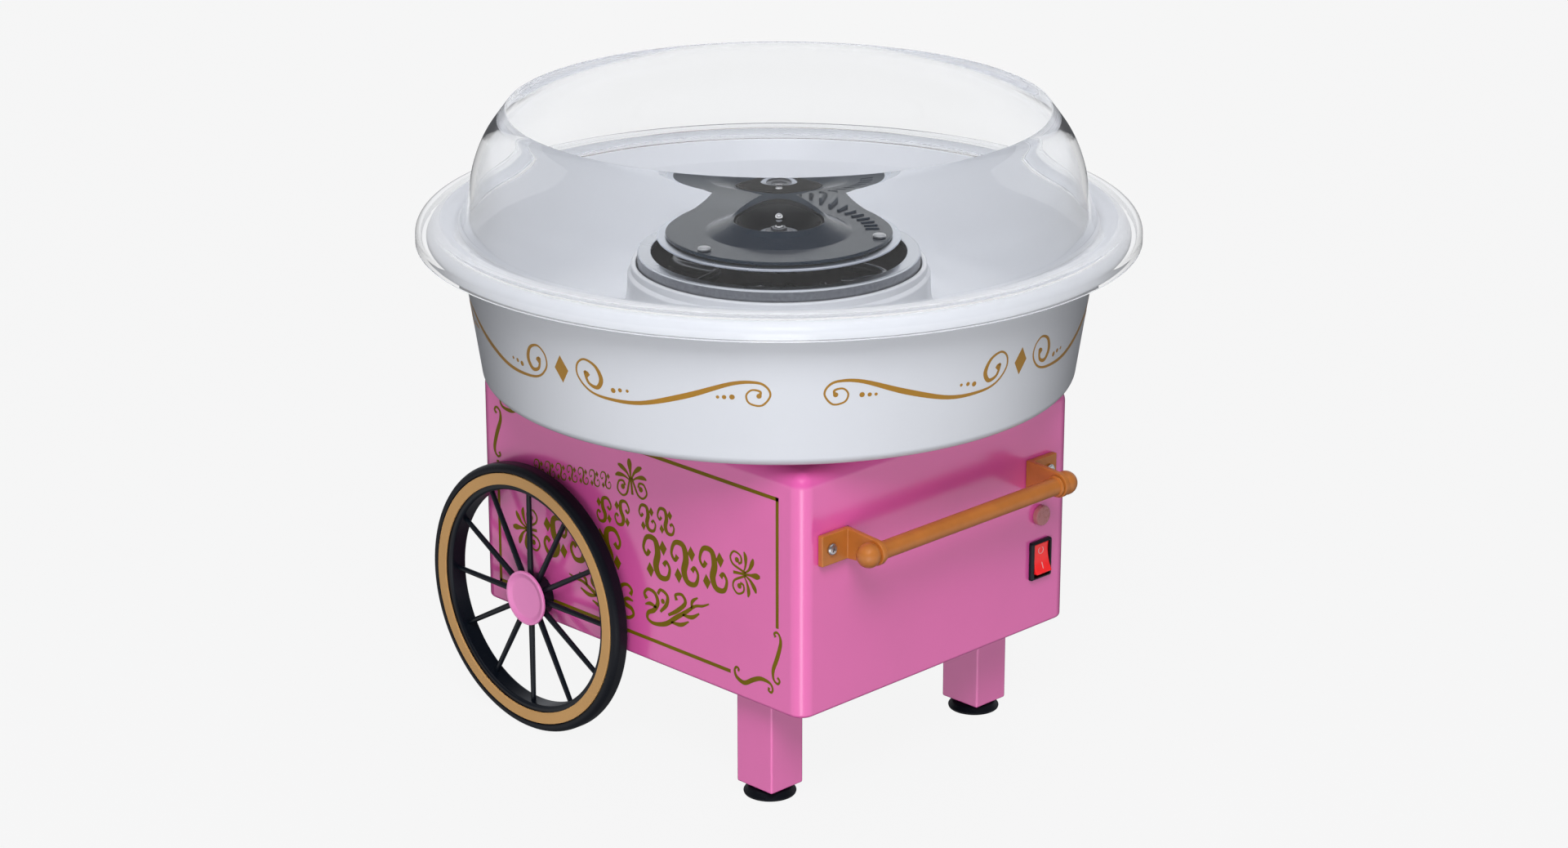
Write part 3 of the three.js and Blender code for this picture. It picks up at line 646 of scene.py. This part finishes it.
def rocker():
    """A rocker whose two faces are hollow and slope away from a valley at its pivot."""
    pivot = next(Vector(j["pos_m"]) / MM for j in frame["joints"] if j["name"] == "switch_rock")
    half, valley, wide, tilt, dip = 6.3, 3.4, 4.5, radians(10), 0.35
    rise = half * tan(tilt)
    steps = 10
    face = []
    for i in range(-steps, steps + 1):
        t = abs(i) / steps
        face.append((half * i / steps, valley + rise * t - dip * sin(pi * t)))
    outline = [*face, (half - 0.3, 0.5), (2.6, -3.6), (-2.6, -3.6), (0.3 - half, 0.5)]
    # The outline's x runs up the switch and its y stands out of it.
    stand = Matrix(((0, 0, 1, -wide), (0, -1, 0, 0), (1, 0, 0, 0), (0, 0, 0, 1)))
    rocked = shift(pivot) @ Matrix.Rotation(-tilt, 4, "X")
    bm = bmesh.new()
    prism(bm, outline, 2 * wide, rocked @ stand)
    button = piece_from(bm, "rocker_button", RED_PAINTED_GLOW)
    soften(button, 0.35, 40)
    stand_in(button, "switch_rocker")

    # A ring on the upper face and a bar on the lower one.
    marks = bmesh.new()
    places = []
    for sign in (1, -1):
        face_middle = shift((0, -(valley + rise * 0.5 - 0.33), sign * half * 0.52))
        places.append(rocked @ face_middle @ Matrix.Rotation(sign * tilt, 4, "X") @ TO_FRONT)
    turned(marks, [(1.3, -0.2), (1.6, -0.2), (1.6, 0.08), (1.3, 0.08)], 48, places[0])
    block(marks, (-0.2, -1.7, -0.2), (0.2, 1.7, 0.08), matrix=places[1])
    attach(piece_from(marks, "rocker_marks", MARK), BODY_OF["switch_rocker"])


def indicator():
    low, high = extent("indicator_lens")
    centre = middle("indicator_lens")
    reach = high.y - low.y
    profile = fillet([(0, 0), (3, 0), (3, reach - 2.2, 0.2), (4.2, reach - 2.2, 0.2), (4.2, reach, 0.45),
                      (0, reach)])
    place = shift((centre.x, high.y, centre.z)) @ TO_FRONT
    stand_in(turned_at(place, "indicator", LENS, profile), "indicator_lens")


def gland():
    centre = middle("cord_gland")
    profile = fillet([(2.6, 0, 0.3), (6, 0, 0.3), (6, 2.5), (4.5, 2.5), (4.5, 5.1), (6.4, 5.1),
                      (6.4, 7.6, 0.8), (2.6, 7.6, 0.5)])
    place = shift((centre.x, extent("cord_gland")[0].y, centre.z)) @ TO_FRONT @ DOWN
    stand_in(turned_at(place, "gland", BLACK, profile), "cord_gland")


# The bowl, the clear guard, the heater and the head.
def bowl():
    """From the foot up the outside, over the rolled rim, down the inside and up the middle collar."""
    profile = fillet([
        (57.6, 0, 0.3), (BOWL_LOW, 0, 4.5), (BOWL_HIGH, BOWL_TALL, 1.2), (131, 60.8, 2.6),
        (136.6, 61.2, 1.8), (138.6, 57.4, 0.3), (141.2, 57.4, 0.4), (141.2, 64.6, 6.4), (130.3, 64.6, 5),
        (125.7, 53.5, 3), (118.1, 2.5, 22), (67.5, 2.5, 9), (61.6, 33, 30), (61.3, 41.6, 1),
        (59.9, 42.8, 0.4), (59.9, 46, 0.8), (57.8, 46, 0.6), (57.6, 42, 0.3)], 8)
    turned_piece("bowl", profile, WHITE, BOWL_SIDES, "bowl_shell")


def clear_dome():
    """A thin shell: a rolled flange, a ledge, and a bulging wall that thins towards its lip."""
    crest = fillet([(146, -10), (146, 9, 6), (134, 8.7, 4), (128.1, 6.3, 1.1), (126.4, 13), (126.3, 13)], 8)
    bulge = curve_through([(126.9, 10.4), (124.7, 17.5), (122.2, 29.5), (117.6, 40.5), (109.1, 52.4)], 14)
    outer = [(146, 0), *crest[1:-2], *[tuple(p) for p in bulge]]
    run = [0.0]
    for here, there in zip(outer, outer[1:]):
        run.append(run[-1] + (Vector(there) - Vector(here)).length)
    thick = []
    for r in run:
        near, far = [1 - min(1, (run[-1] - r) / reach) for reach in (LIP_NEAR, LIP_FAR)]
        thick.append(GUARD_THICK - THIN_NEAR * near ** 2 - THIN_FAR * far ** 3)
    inner = beside(outer, thick)
    inner[0] = (144, 0)
    lip = fillet([outer[-2], (*outer[-1], 0.15), (*inner[-1], 0.15), inner[-2]])[1:-1]
    profile = [*outer[:-1], *lip, *inner[-2::-1]]
    guard = turned_piece("clear_dome", profile, CLEAR, BOWL_SIDES, "rim_guard")
    guard.visible_diffuse = False
    guard.visible_shadow = False


def drum():
    """A rolled ring round a dark well that is open in its middle for the shaft."""
    low, high = extent("heater_drum")
    top = high.z - low.z + RING_PROUD
    profile = fillet([(57.2, 0, 0.2), (57.2, top, 1.1), (WELL_REACH, top, 0.7), (WELL_REACH, top - 2.4),
                      (54.2, top - 2.4), (56, top - 3.4, 0.8), (56, 0, 0.2)])
    ring = turned_piece("heater_drum", profile, RING_METAL, ROUND, "drum_ring")
    # Painted shade: faces on the outer wall that look sideways take the darker drum metal, while the top and the
    # inside keep the pale ring metal.
    ring.data.materials.append(DRUM_METAL)
    for face in ring.data.polygons:
        face.material_index = int(abs(face.normal.z) < 0.3 and face.center.xy.length > 57 * MM)
    under = WELL_FLOOR - WELL_THICK
    profile = fillet([(53.9, top - 2.6, 0.2), (WELL_REACH, top - 2.6, 0.2), (WELL_REACH, WELL_FLOOR, 2),
                      (WELL_BORE, WELL_FLOOR, 0.3), (WELL_BORE, under, 0.3),
                      (WELL_REACH + WELL_THICK, under, 3), (WELL_REACH + WELL_THICK, top - 3.8, 0.2),
                      (53.9, top - 3.8, 0.2)])
    well = turned_at(shift((0, 0, low.z)), "drum_well", WELL, profile, ROUND)
    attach(well, BODY_OF["heater_drum"])


def element():
    """A tube that runs in waves round the well, on three insulators."""
    height = middle("heating_element").z
    line = []
    steps = 300
    for i in range(steps + 1):
        angle = radians(-80 + 340 * i / steps)
        reach = 35 + 9 * cos(6 * angle)
        line.append((reach * cos(angle), reach * sin(angle), height))
    bm = bmesh.new()
    tube_along(bm, line, 2.1)
    stand_in(piece_from(bm, "element_tube", ELEMENT), "heating_element")
    for i in (1, 2, 3):
        node = "element_insulator_%d" % i
        tall = tallness(node)
        profile = fillet([(0, 0), (3, 0, 0.3), (3, tall, 0.4), (0, tall)])
        turned_piece(node, profile, CERAMIC, 32, "insulator_%d" % i)


def head():
    top = PLATE_TOP - extent("head_plate")[0].z
    profile = fillet([(49.2, top - 1.2, 0.4), (49.2, top, 0.5), (39, top, 1.5), (35.5, top - 4.3, 2),
                      (8, top - 4.3, 1), (8, 10.2, 0.3), (2.2, 10.2), (2.2, 7), (3.3, 7), (3.3, 0), (8, 0),
                      (8, top - 5.8, 0.5), (36, top - 5.8, 2), (39.5, top - 1.2, 1.5)])
    turned_piece("head_plate", profile, HEAD_METAL, ROUND, "spun_plate")

    profile = fillet([(45.9, 0, 0.2), (45.9, COVER_THICK, 0.7), (29.6, COVER_THICK, 3), (22.2, 4.4, 5),
                      (19, 6.2, 0.3), (18, 5.4, 0.2), (21.8, 3.1, 4), (29, 0, 2)])
    turned_piece("head_cover", profile, SLATE, ROUND, "funnel_cover")
    cover_foot = extent("head_cover")[0].z
    funnel_liner(cover_foot)
    cover_ribs(cover_foot)

    tall = tallness("head_screen")
    turned_piece("head_screen", [(32.8, 0), (33.6, 0), (33.6, tall), (32.8, tall)], STEEL, ROUND,
                 "screen_ring")
    washer_and_nut()
    for i in (1, 2, 3):
        node = "head_screw_%d" % i
        centre = middle(node)
        face = cover_foot + COVER_THICK + GAP
        place = shift((centre.x, centre.y, face)) @ Matrix.Rotation(0.7 * i, 4, "Z")
        domed_screw("cover_screw_%d" % i, node, 2.7, 1.2, 1.2, face - extent(node)[0].z, place, cross=False)


def washer_and_nut():
    place = shift((0, 0, extent("head_collar")[0].z))
    washer = fillet([(2.2, 0), (5.5, 0, 0.15), (5.5, 0.5, 0.2), (2.2, 0.5)])
    collar = turned_at(place, "washer_and_nut", DRUM_METAL, washer)
    nut = bmesh.new()
    turned(nut, fillet([(2.2, 0.3), (3.4, 0.3), (3.4, 1.9, 0.25), (2.2, 1.9, 0.1)]), 6, place)
    stand_in(carve(collar, nut, "UNION"), "head_collar")


def shaft():
    """A stepped shaft that ends in a small ball."""
    ball, neck, tall = 1.64, 129.6, tallness("spindle")
    turn = [radians(a) for a in range(-52, 90, 8)]
    tip = [(ball * cos(a), tall - ball + ball * sin(a)) for a in turn]
    stem = fillet([(0, 0), (3, 0, 0.4), (3, 123.4, 0.4), (1.6, 123.9), (1.6, neck, 0.3),
                   (1.05, neck + 0.6, 0.2)])
    turned_piece("spindle", [*stem, *tip, (0, tall)], SHAFT_STEEL, 48, "shaft")


def on_cover(piece):
    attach(piece, BODY_OF["head_cover"])


def funnel_liner(cover_foot):
    """The funnel under the cover's mouth, open round the nut in its middle, near black as painted shade for the
    inside of the hole.
    """
    profile = fillet([(17.6, 4.9, 0.1), (17.1, 4.9, 0.1), (12.6, -1.6, 5), (5.9, -4.0, 0.1),
                      (5.9, -4.3, 0.1), (13.1, -2.2, 5)])
    on_cover(turned_at(shift((0, 0, cover_foot)), "funnel_liner", FUNNEL_SHADE, profile, ROUND))


def cover_ribs(cover_foot):
    """Short raised ribs set round the far side of the cover."""
    top = cover_foot + COVER_THICK
    bm = bmesh.new()
    for i in range(RIBS):
        heading = RIBS_FROM + (RIBS_TO - RIBS_FROM) * i / (RIBS - 1)
        turn = Matrix.Rotation(radians(heading), 4, "Z")
        block(bm, (34.8, -0.75, top - 0.3), (40.6, 0.75, top + 0.6), 0.4, 3, matrix=turn)
    on_cover(piece_from(bm, "cover_ribs", SLATE))


def seat():
    tall = tallness("bowl_seat")
    profile = fillet([(58.6, 0, 0.3), (68, 0, 0.5), (68, tall, 1), (58.6, tall, 0.5)])
    turned_piece("bowl_seat", profile, PINK, ROUND, "seat_ring")


# Prints: thin raised ribbons, drawn flat and then laid on the bowl's wall or the cart's sides.
def ribbon(bm, points, lay, per_span=6, mirror=1):
    """A ribbon along a smooth line through points, each given as u, v and the width there."""
    line = curve_through(points, per_span)
    flat = [(p.x, p.y) for p in line]
    halves = [max(0.02, p.z / 2) for p in line]
    left, right = beside(flat, halves), beside(flat, [-h for h in halves])
    rows = []
    for a, b in zip(left, right):
        corners = ((a, PRINT), (b, PRINT), (b, -PRINT), (a, -PRINT))
        rows.append([bm.verts.new(lay(mirror * u, v, lift)) for (u, v), lift in corners])
    for here, there in zip(rows, rows[1:]):
        for i in range(4):
            j = (i + 1) % 4
            bm.faces.new((here[i], here[j], there[j], there[i]))
    bm.faces.new(rows[0][::-1])
    bm.faces.new(rows[-1])


def patch(bm, outline, lay, mirror=1):
    """A flat patch with a closed outline, filled from its middle."""
    count = len(outline)
    middle_u = sum(p[0] for p in outline) / count
    middle_v = sum(p[1] for p in outline) / count
    tops = [bm.verts.new(lay(mirror * u, v, PRINT)) for u, v in outline]
    feet = [bm.verts.new(lay(mirror * u, v, -PRINT)) for u, v in outline]
    crown = bm.verts.new(lay(mirror * middle_u, middle_v, PRINT))
    base = bm.verts.new(lay(mirror * middle_u, middle_v, -PRINT))
    for i in range(count):
        j = (i + 1) % count
        bm.faces.new((tops[i], tops[j], crown))
        bm.faces.new((feet[j], feet[i], base))
        bm.faces.new((feet[i], feet[j], tops[j], tops[i]))


def dot(bm, u, v, radius, lay, mirror=1, steps=20):
    angles = [2 * pi * i / steps for i in range(steps)]
    patch(bm, [(u + radius * cos(a), v + radius * sin(a)) for a in angles], lay, mirror)


def bowl_print():
    """Four diamonds round the bowl, each with a swoosh that curls at both ends on either side."""
    base = extent("bowl")[0].z
    level = base + BOWL_PRINT_LEVEL
    bm = bmesh.new()
    for quarter in range(4):
        first = radians(BOWL_PRINT_HEADING + 90 * quarter)

        def lay(u, v, lift):
            reach = BOWL_LOW + (v - base) * (BOWL_HIGH - BOWL_LOW) / BOWL_TALL + lift
            angle = first + u / BOWL_PRINT_REACH
            return reach * cos(angle), reach * sin(angle), v

        patch(bm, [(0, level - 5.7), (3.6, level), (0, level + 5.7), (-3.6, level)], lay)
        for side in (1, -1):
            swoosh(bm, lay, level, side)
    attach(piece_from(bm, "bowl_scrolls", GOLD_PRINT), BODY_OF["bowl"])


def swoosh(bm, lay, level, side):
    """Out of the big curl's heart, round it, away along the swoosh and into the small curl's heart."""
    big, small = (14.1, level + 0.6), (83.2, level + 0.4)
    from_big = ((-0.2, -0.6, 2.0), (-1.9, 0.9, 1.3), (-0.6, -3.4, 1.2), (3.4, -4.6, 1.7), (5.6, -0.8, 1.9),
                (3.4, 4.2, 1.3), (-1.6, 6.2, 0.9), (-5.4, 3.4, 0.8), (-5.6, -1.6, 0.8), (-0.6, -6.6, 0.9),
                (8.0, -8.4, 1.2), (22.4, -7.8, 1.7), (41, -2.5, 2.3), (58.6, 3.8, 1.6))
    from_small = ((-1.2, 4.9, 1.1), (3.0, 3.1, 0.9), (4.4, -0.6, 0.8), (1.2, -4.6, 0.8), (-3.4, -3.8, 0.75),
                  (-4.6, -0.6, 0.75), (-2.6, 1.7, 0.75), (0.6, 1.2, 0.9), (0.5, -0.9, 1.2))
    line = [(heart[0] + u, heart[1] + v, width) for heart, offsets in ((big, from_big), (small, from_small))
            for u, v, width in offsets]
    ribbon(bm, line, lay, mirror=side)
    dot(bm, big[0] - 1.0, big[1] + 0.2, 1.15, lay, side)
    dot(bm, small[0] + 0.2, small[1] - 0.7, 1.0, lay, side)
    for u, v, radius in ((24.8, -3.9, 1.05), (27.9, -3.3, 0.85), (31.1, -3.1, 0.65),
                         (67.7, -1.3, 0.65), (70.2, -1.2, 0.85), (73.2, -1.0, 1.05)):
        dot(bm, u, level + v, radius, lay, side)


def side_print(side, sign):
    """A line border with scrolls in two corners, round a slanted group of plain ornaments."""
    low, high = extent("cart_shell")
    face = high.x if sign > 0 else low.x
    bm = bmesh.new()

    def lay(u, v, lift):
        # u runs to the right for someone who looks at this side.
        return face + sign * lift, SIDE_PRINT_Y + sign * u, v

    def slant(x, y, lift):
        # The group's own frame climbs to the right, about its middle.
        turned_spot = Matrix.Rotation(radians(GROUP_SLANT), 2) @ Vector((x, y))
        return lay(GROUP_SPOT[0] + turned_spot.x, GROUP_SPOT[1] + turned_spot.y, lift)

    border(bm, lay)
    palmette(bm, slant, (60.0, 1.2), 0)
    palmette(bm, slant, (-60.0, 1.2), 180)
    palmette(bm, slant, (3.5, 26.6), 90)
    for half in (1, -1):
        flourish(bm, slant, half)
        for k in range(3):
            motif(bm, slant, (half * (6 + 16.4 * k), 0.4), half, 1, 1.1)
        for k in range(2):
            motif(bm, slant, (3.5 + half * (2.4 + 10.8 * k), 16.4), half, 0.62, 1.1)
    for k in range(7):
        motif(bm, slant, (-56 + 6.8 * k, 29), 1, 0.4, 0.75)
    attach(piece_from(bm, "side_scrolls_" + side, OLIVE_PRINT), BODY_OF["cart_shell"])


def border(bm, lay):
    """Four lines, with two scrolls in place of each of two opposite corners."""
    line_width, top, bottom, left, right = 1.55, 134.9, 56.1, -80.1, 83.6
    half = line_width / 2
    for a, b in (((right, top + half), (right, 81.7)), ((right + half, top), (-61, top)),
                 ((57.6, bottom), (left - half, bottom)), ((left, bottom - half), (left, 109.3))):
        between = ((a[0] + b[0]) / 2, (a[1] + b[1]) / 2)
        ribbon(bm, [(*p, line_width) for p in (a, between, b)], lay, 2)
    upright = [(82.7, 77.8, 1.2), (82.0, 79.1, 1.0), (83.4, 80.0, 1.0), (85.0, 78.7, 1.1), (85.4, 75.6, 1.7),
               (83.6, 69.4, 2.0), (81.4, 63.7, 1.7), (81.6, 59.9, 1.1), (83.8, 58.5, 1.0), (84.9, 60.0, 1.0),
               (83.7, 61.2, 1.2)]
    level = [(61.9, 57.4, 1.2), (62.2, 58.4, 1.0), (60.9, 58.9, 1.0), (59.9, 57.2, 1.1), (61.2, 54.6, 1.6),
             (65.4, 53.5, 1.9), (70.2, 56.2, 2.0), (74.6, 58.0, 1.8), (79.4, 57.6, 1.2), (81.1, 55.6, 1.0),
             (80.4, 53.9, 1.0), (78.9, 54.3, 1.0), (79.1, 55.6, 1.2)]
    for scroll in (upright, level):
        ribbon(bm, scroll, lay)
        ribbon(bm, [(left + right - u, top + bottom - v, width) for u, v, width in scroll], lay)


def palmette(bm, lay, root, heading):
    """A long middle petal, two pairs of leaves, and a curl with a dot in it on each side."""
    turn = Matrix.Rotation(radians(heading), 2)

    def at(x, y):
        away = turn @ Vector((x, y))
        return root[0] + away.x, root[1] + away.y

    def stroke(points, side=1):
        ribbon(bm, [(*at(x, y * side), width) for x, y, width in points], lay)

    stroke([(-1.6, 0, 1.3), (4, 0, 1.1), (8, 0, 1.2), (11.3, 0, 2.6), (13.4, 0, 1.2)])
    for side in (1, -1):
        stroke([(5.0, 0.5, 0.6), (7.6, 2.2, 1.2), (9.6, 5.0, 2.1), (10.4, 7.0, 0.8)], side)
        stroke([(4.6, 1.2, 0.6), (5.8, 3.8, 1.1), (6.2, 7.0, 1.9), (5.6, 9.2, 0.7)], side)
        stroke([(5.4, 0.6, 0.9), (2.6, 1.6, 1.0), (-1.4, 3.4, 1.0), (-2.4, 6.2, 0.9), (-0.2, 8.6, 0.9),
                (3.2, 7.4, 0.9), (3.6, 4.8, 1.0), (1.8, 3.9, 1.1)], side)
        dot(bm, *at(1.2, 5.3 * side), 1.15, lay)


def flourish(bm, lay, half):
    """Nested curls and leaves under the rows, on one side of the group's middle."""
    strokes = (
        ((1.4, -17.9, 2.0), (0.3, -15.7, 1.4), (2.8, -13.7, 1.4), (6.6, -14.9, 1.7), (7.8, -18.7, 2.1),
         (5.1, -22.1, 2.1), (1.5, -23.7, 1.8), (0.8, -26.3, 1.4), (4.5, -27.9, 1.6), (11.4, -26.9, 2.1),
         (17.9, -23.3, 2.1), (24.2, -19.9, 1.8), (29.8, -16.7, 1.3), (34.3, -15.9, 1.1),
         (38.1, -14.5, 0.7)),
        ((8.8, -22.3, 1.2), (12.9, -18.7, 1.9), (13.9, -14.9, 1.6), (10.4, -12.9, 1.4), (8.3, -14.9, 1.5)),
        ((13.4, -22.9, 1.2), (18.9, -20.3, 1.9), (24.2, -16.3, 1.8), (22.7, -13.1, 1.4),
         (18.9, -13.7, 1.3), (19.2, -15.9, 1.7)),
        ((21.9, -21.5, 0.9), (27.2, -21.7, 1.8), (31.8, -19.5, 0.8)),
        ((14.6, -25.7, 0.9), (20.2, -25.9, 1.8), (25.2, -23.9, 0.7)),
        ((6.8, -20.9, 0.9), (3.3, -19.7, 1.7), (0.1, -20.3, 0.7)),
        ((27.5, -17.9, 0.8), (28.5, -14.9, 1.6), (31.8, -12.9, 0.7)))
    for stroke in strokes:
        ribbon(bm, [(1 + half * (3.5 + x), y, width) for x, y, width in stroke], lay)
    dot(bm, 1 + half * 14.4, -17.6, 1.1, lay)


def motif(bm, lay, corner, half, size, weight):
    """A plain scroll with a lozenge above and below it; half is the way it runs."""
    def at(x, y):
        return corner[0] + half * size * x, corner[1] + size * y

    scroll = ((4.4, 2.6, 2.0), (2.6, 0.6, 1.4), (1.0, 3.6, 1.3), (3.6, 8.0, 1.8), (8.2, 7.4, 2.4),
              (9.2, 2.0, 3.0), (7.4, -3.4, 3.0), (9.0, -7.6, 2.4), (13.4, -7.8, 1.8), (15.4, -3.8, 1.3),
              (13.8, -1.0, 1.4), (12.0, -2.6, 2.0))
    ribbon(bm, [(*at(x, y), width * size * weight) for x, y, width in scroll], lay)
    for x, y in ((12.6, 4.6), (3.8, -5.6)):
        patch(bm, [at(x, y - 3.2), at(x + 2.2, y), at(x, y + 3.2), at(x - 2.2, y)], lay)


# The studio: the soft sky is only mirrored, the lamps light the surfaces, and the pale cove is only seen.
# The sky's stops are (height, brightness), from 0 straight down to 1 straight up.
FRONT_SKY = ((0.0, 0.2), (0.15, 0.4), (0.25, 1.5), (0.335, 2.4), (0.42, 1.5), (0.5, 0.2), (0.58, 0.1),
             (0.84, 0.1), (0.9, 0.8), (0.95, 1.6), (1.0, 0.4))
REAR_SKY = ((0.0, 0.12), (0.4, 0.12), (0.49, 0.2), (0.53, 0.75), (0.65, 0.8), (0.75, 0.5), (0.88, 0.2),
            (1.0, 0.2))
SKY_TINT = (0.95, 0.975, 1.04)
FRONT_HEADING, FRONT_EDGES = 225, (-0.85, 0.35)  # the cosines where the rear sky ends and the front's is full
GLOW_HEIGHT, GLOW_EDGES, GLOW = -19, (13, 5), 3  # a bright round patch low in front, in degrees
LAMP_DISTANCE = 2.0
LAMPS = (  # name, heading and height in degrees, size in metres, power in watts
    ("key", 225, 44, 0.8, 22), ("top", 225, 85, 2.5, 15), ("front_fill", 225, -6, 1.5, 15),
    ("left_fill", 175, 5, 2.0, 7), ("right_fill", 275, 5, 2.0, 7), ("rear_fill", 45, 25, 2.0, 16),
    ("bounce", 225, -70, 2.5, 4))
LAMP_TINT = (0.965, 0.985, 1.04)
COVE_GREY, COVE_GLOW = 0.03, 0.90
COVE_REACH, COVE_TALL, COVE_DROP = 5000, 6000, 0.4
CLEAR_BOUNCES = 28


def studio():
    scene = bpy.context.scene
    scene.view_settings.view_transform = "Standard"
    # Light that runs inside the clear guard's wall needs more bounces than usual to come out again.
    scene.cycles.max_bounces = CLEAR_BOUNCES
    scene.cycles.glossy_bounces = CLEAR_BOUNCES
    scene.cycles.transmission_bounces = CLEAR_BOUNCES
    cove()
    sky()
    for name, azimuth, elevation, size, power in LAMPS:
        lamp(name, azimuth, elevation, size, power)


def cove():
    """The pale ground and walls, which glow evenly, take no shadow and give no light."""
    finish, _, _, shader = new_finish("cove")
    set_inputs(shader, {"Base Color": (COVE_GREY, COVE_GREY, COVE_GREY, 1), "Specular IOR Level": 0.0,
                        "Roughness": 1.0, "Emission Color": (1, 1, 1, 1), "Emission Strength": COVE_GLOW})
    profile = fillet([(0, 0), (COVE_REACH, 0, 1500), (COVE_REACH, COVE_TALL, 2500), (0, COVE_TALL)])
    ground = turned_at(None, "cove", finish, profile)
    ground.data.flip_normals()
    ground.location.z = -COVE_DROP * MM
    ground.visible_diffuse = False
    ground.visible_glossy = False
    ground.visible_shadow = False


def direction(azimuth, elevation):
    """A unit vector towards a heading and a height in degrees."""
    azimuth, elevation = radians(azimuth), radians(elevation)
    return Vector((cos(azimuth) * cos(elevation), sin(azimuth) * cos(elevation), sin(elevation)))


def sky():
    """A soft sky that is bright in front and dim behind, with a bright patch low in front."""
    world = bpy.data.worlds.new("sky")
    bpy.context.scene.world = world
    world.cycles_visibility.diffuse = False
    world.use_nodes = True
    nodes, links = world.node_tree.nodes, world.node_tree.links
    heading = nodes.new("ShaderNodeTexCoord").outputs["Generated"]
    split = nodes.new("ShaderNodeSeparateXYZ")
    links.new(heading, split.inputs["Vector"])
    height = nodes.new("ShaderNodeMapRange")
    height.inputs["From Min"].default_value = -1
    links.new(split.outputs["Z"], height.inputs["Value"])
    ramps = [sky_ramp(nodes, links, height.outputs["Result"], stops) for stops in (REAR_SKY, FRONT_SKY)]
    facing = lobe(nodes, links, heading, direction(FRONT_HEADING, 0), *FRONT_EDGES)
    whole = mixed(nodes, links, facing, ramps[0])
    links.new(ramps[1], whole.inputs[7])
    edges = [cos(radians(edge)) for edge in GLOW_EDGES]
    glowing = lobe(nodes, links, heading, direction(FRONT_HEADING, GLOW_HEIGHT), *edges)
    bright = mixed(nodes, links, glowing, whole.outputs[2])
    bright.inputs[7].default_value = (GLOW, GLOW, GLOW, 1)
    links.new(bright.outputs[2], nodes["Background"].inputs["Color"])


def sky_ramp(nodes, links, height, stops):
    ramp = nodes.new("ShaderNodeValToRGB")
    ramp.color_ramp.interpolation = "B_SPLINE"
    while len(ramp.color_ramp.elements) < len(stops):
        ramp.color_ramp.elements.new(0.5)
    for stop, (position, value) in zip(ramp.color_ramp.elements, stops):
        stop.position = position
        stop.color = (*[value * c for c in SKY_TINT], 1)
    links.new(height, ramp.inputs["Fac"])
    return ramp.outputs["Color"]


def mixed(nodes, links, factor, first):
    """A mix that is the first colour where the factor is 0; its second colour goes to input 7."""
    blend = nodes.new("ShaderNodeMix")
    blend.data_type = "RGBA"
    links.new(factor, blend.inputs["Factor"])
    links.new(first, blend.inputs[6])
    return blend


def lobe(nodes, links, heading, axis, outer, inner):
    """1 where the heading is within inner of the axis and 0 beyond outer, both cosines."""
    dot_product = nodes.new("ShaderNodeVectorMath")
    dot_product.operation = "DOT_PRODUCT"
    dot_product.inputs[1].default_value = axis
    links.new(heading, dot_product.inputs[0])
    fade = nodes.new("ShaderNodeMapRange")
    fade.interpolation_type = "SMOOTHSTEP"
    set_inputs(fade, {"From Min": outer, "From Max": inner})
    links.new(dot_product.outputs["Value"], fade.inputs["Value"])
    return fade.outputs["Result"]


def lamp(name, azimuth, elevation, size, power):
    """A square soft light that faces the object's middle and isn't mirrored by it."""
    data = bpy.data.lights.new(name, "AREA")
    data.size = size
    data.energy = power
    data.color = LAMP_TINT
    light = new_object(name, data)
    away = direction(azimuth, elevation)
    light.location = Vector((0, 0, cad_box[1].z / 2)) + away * LAMP_DISTANCE
    light.rotation_mode = "QUATERNION"
    light.rotation_quaternion = away.to_track_quat("Z", "Y")
    light.visible_glossy = False
    light.visible_camera = False
    light.visible_transmission = False


def camera():
    azimuth = radians(CAMERA_AZIMUTH)
    right = Vector((cos(azimuth), sin(azimuth), 0))
    target = Vector((0, 0, CAMERA_AIM)) + right * CAMERA_RIGHT
    back = direction(CAMERA_AZIMUTH - 90, CAMERA_ELEVATION)
    data = bpy.data.cameras.new("camera")
    data.lens = CAMERA_LENS
    data.sensor_width = CAMERA_SENSOR
    data.clip_end = 50
    view = new_object("camera", data)
    view.location = target + back * CAMERA_DISTANCE
    view.rotation_mode = "QUATERNION"
    view.rotation_quaternion = (-back).to_track_quat("-Z", "Y")
    bpy.context.scene.camera = view


camera()
studio()
cart_shell()
for side_name, side_sign in SIDES:
    leg(side_name)
    foot(side_name)
    wheel(side_name, side_sign)
    side_print(side_name, side_sign)
handle()
switch()
rocker()
indicator()
gland()
seat()
bowl()
bowl_print()
clear_dome()
drum()
element()
head()
shaft()
for node_name, node_object in frame["nodes"].items():
    if not node_object.hide_render:
        node_object.data.materials.clear()
        node_object.data.materials.append(CAD_FINISH[SLOT_OF[node_name]])
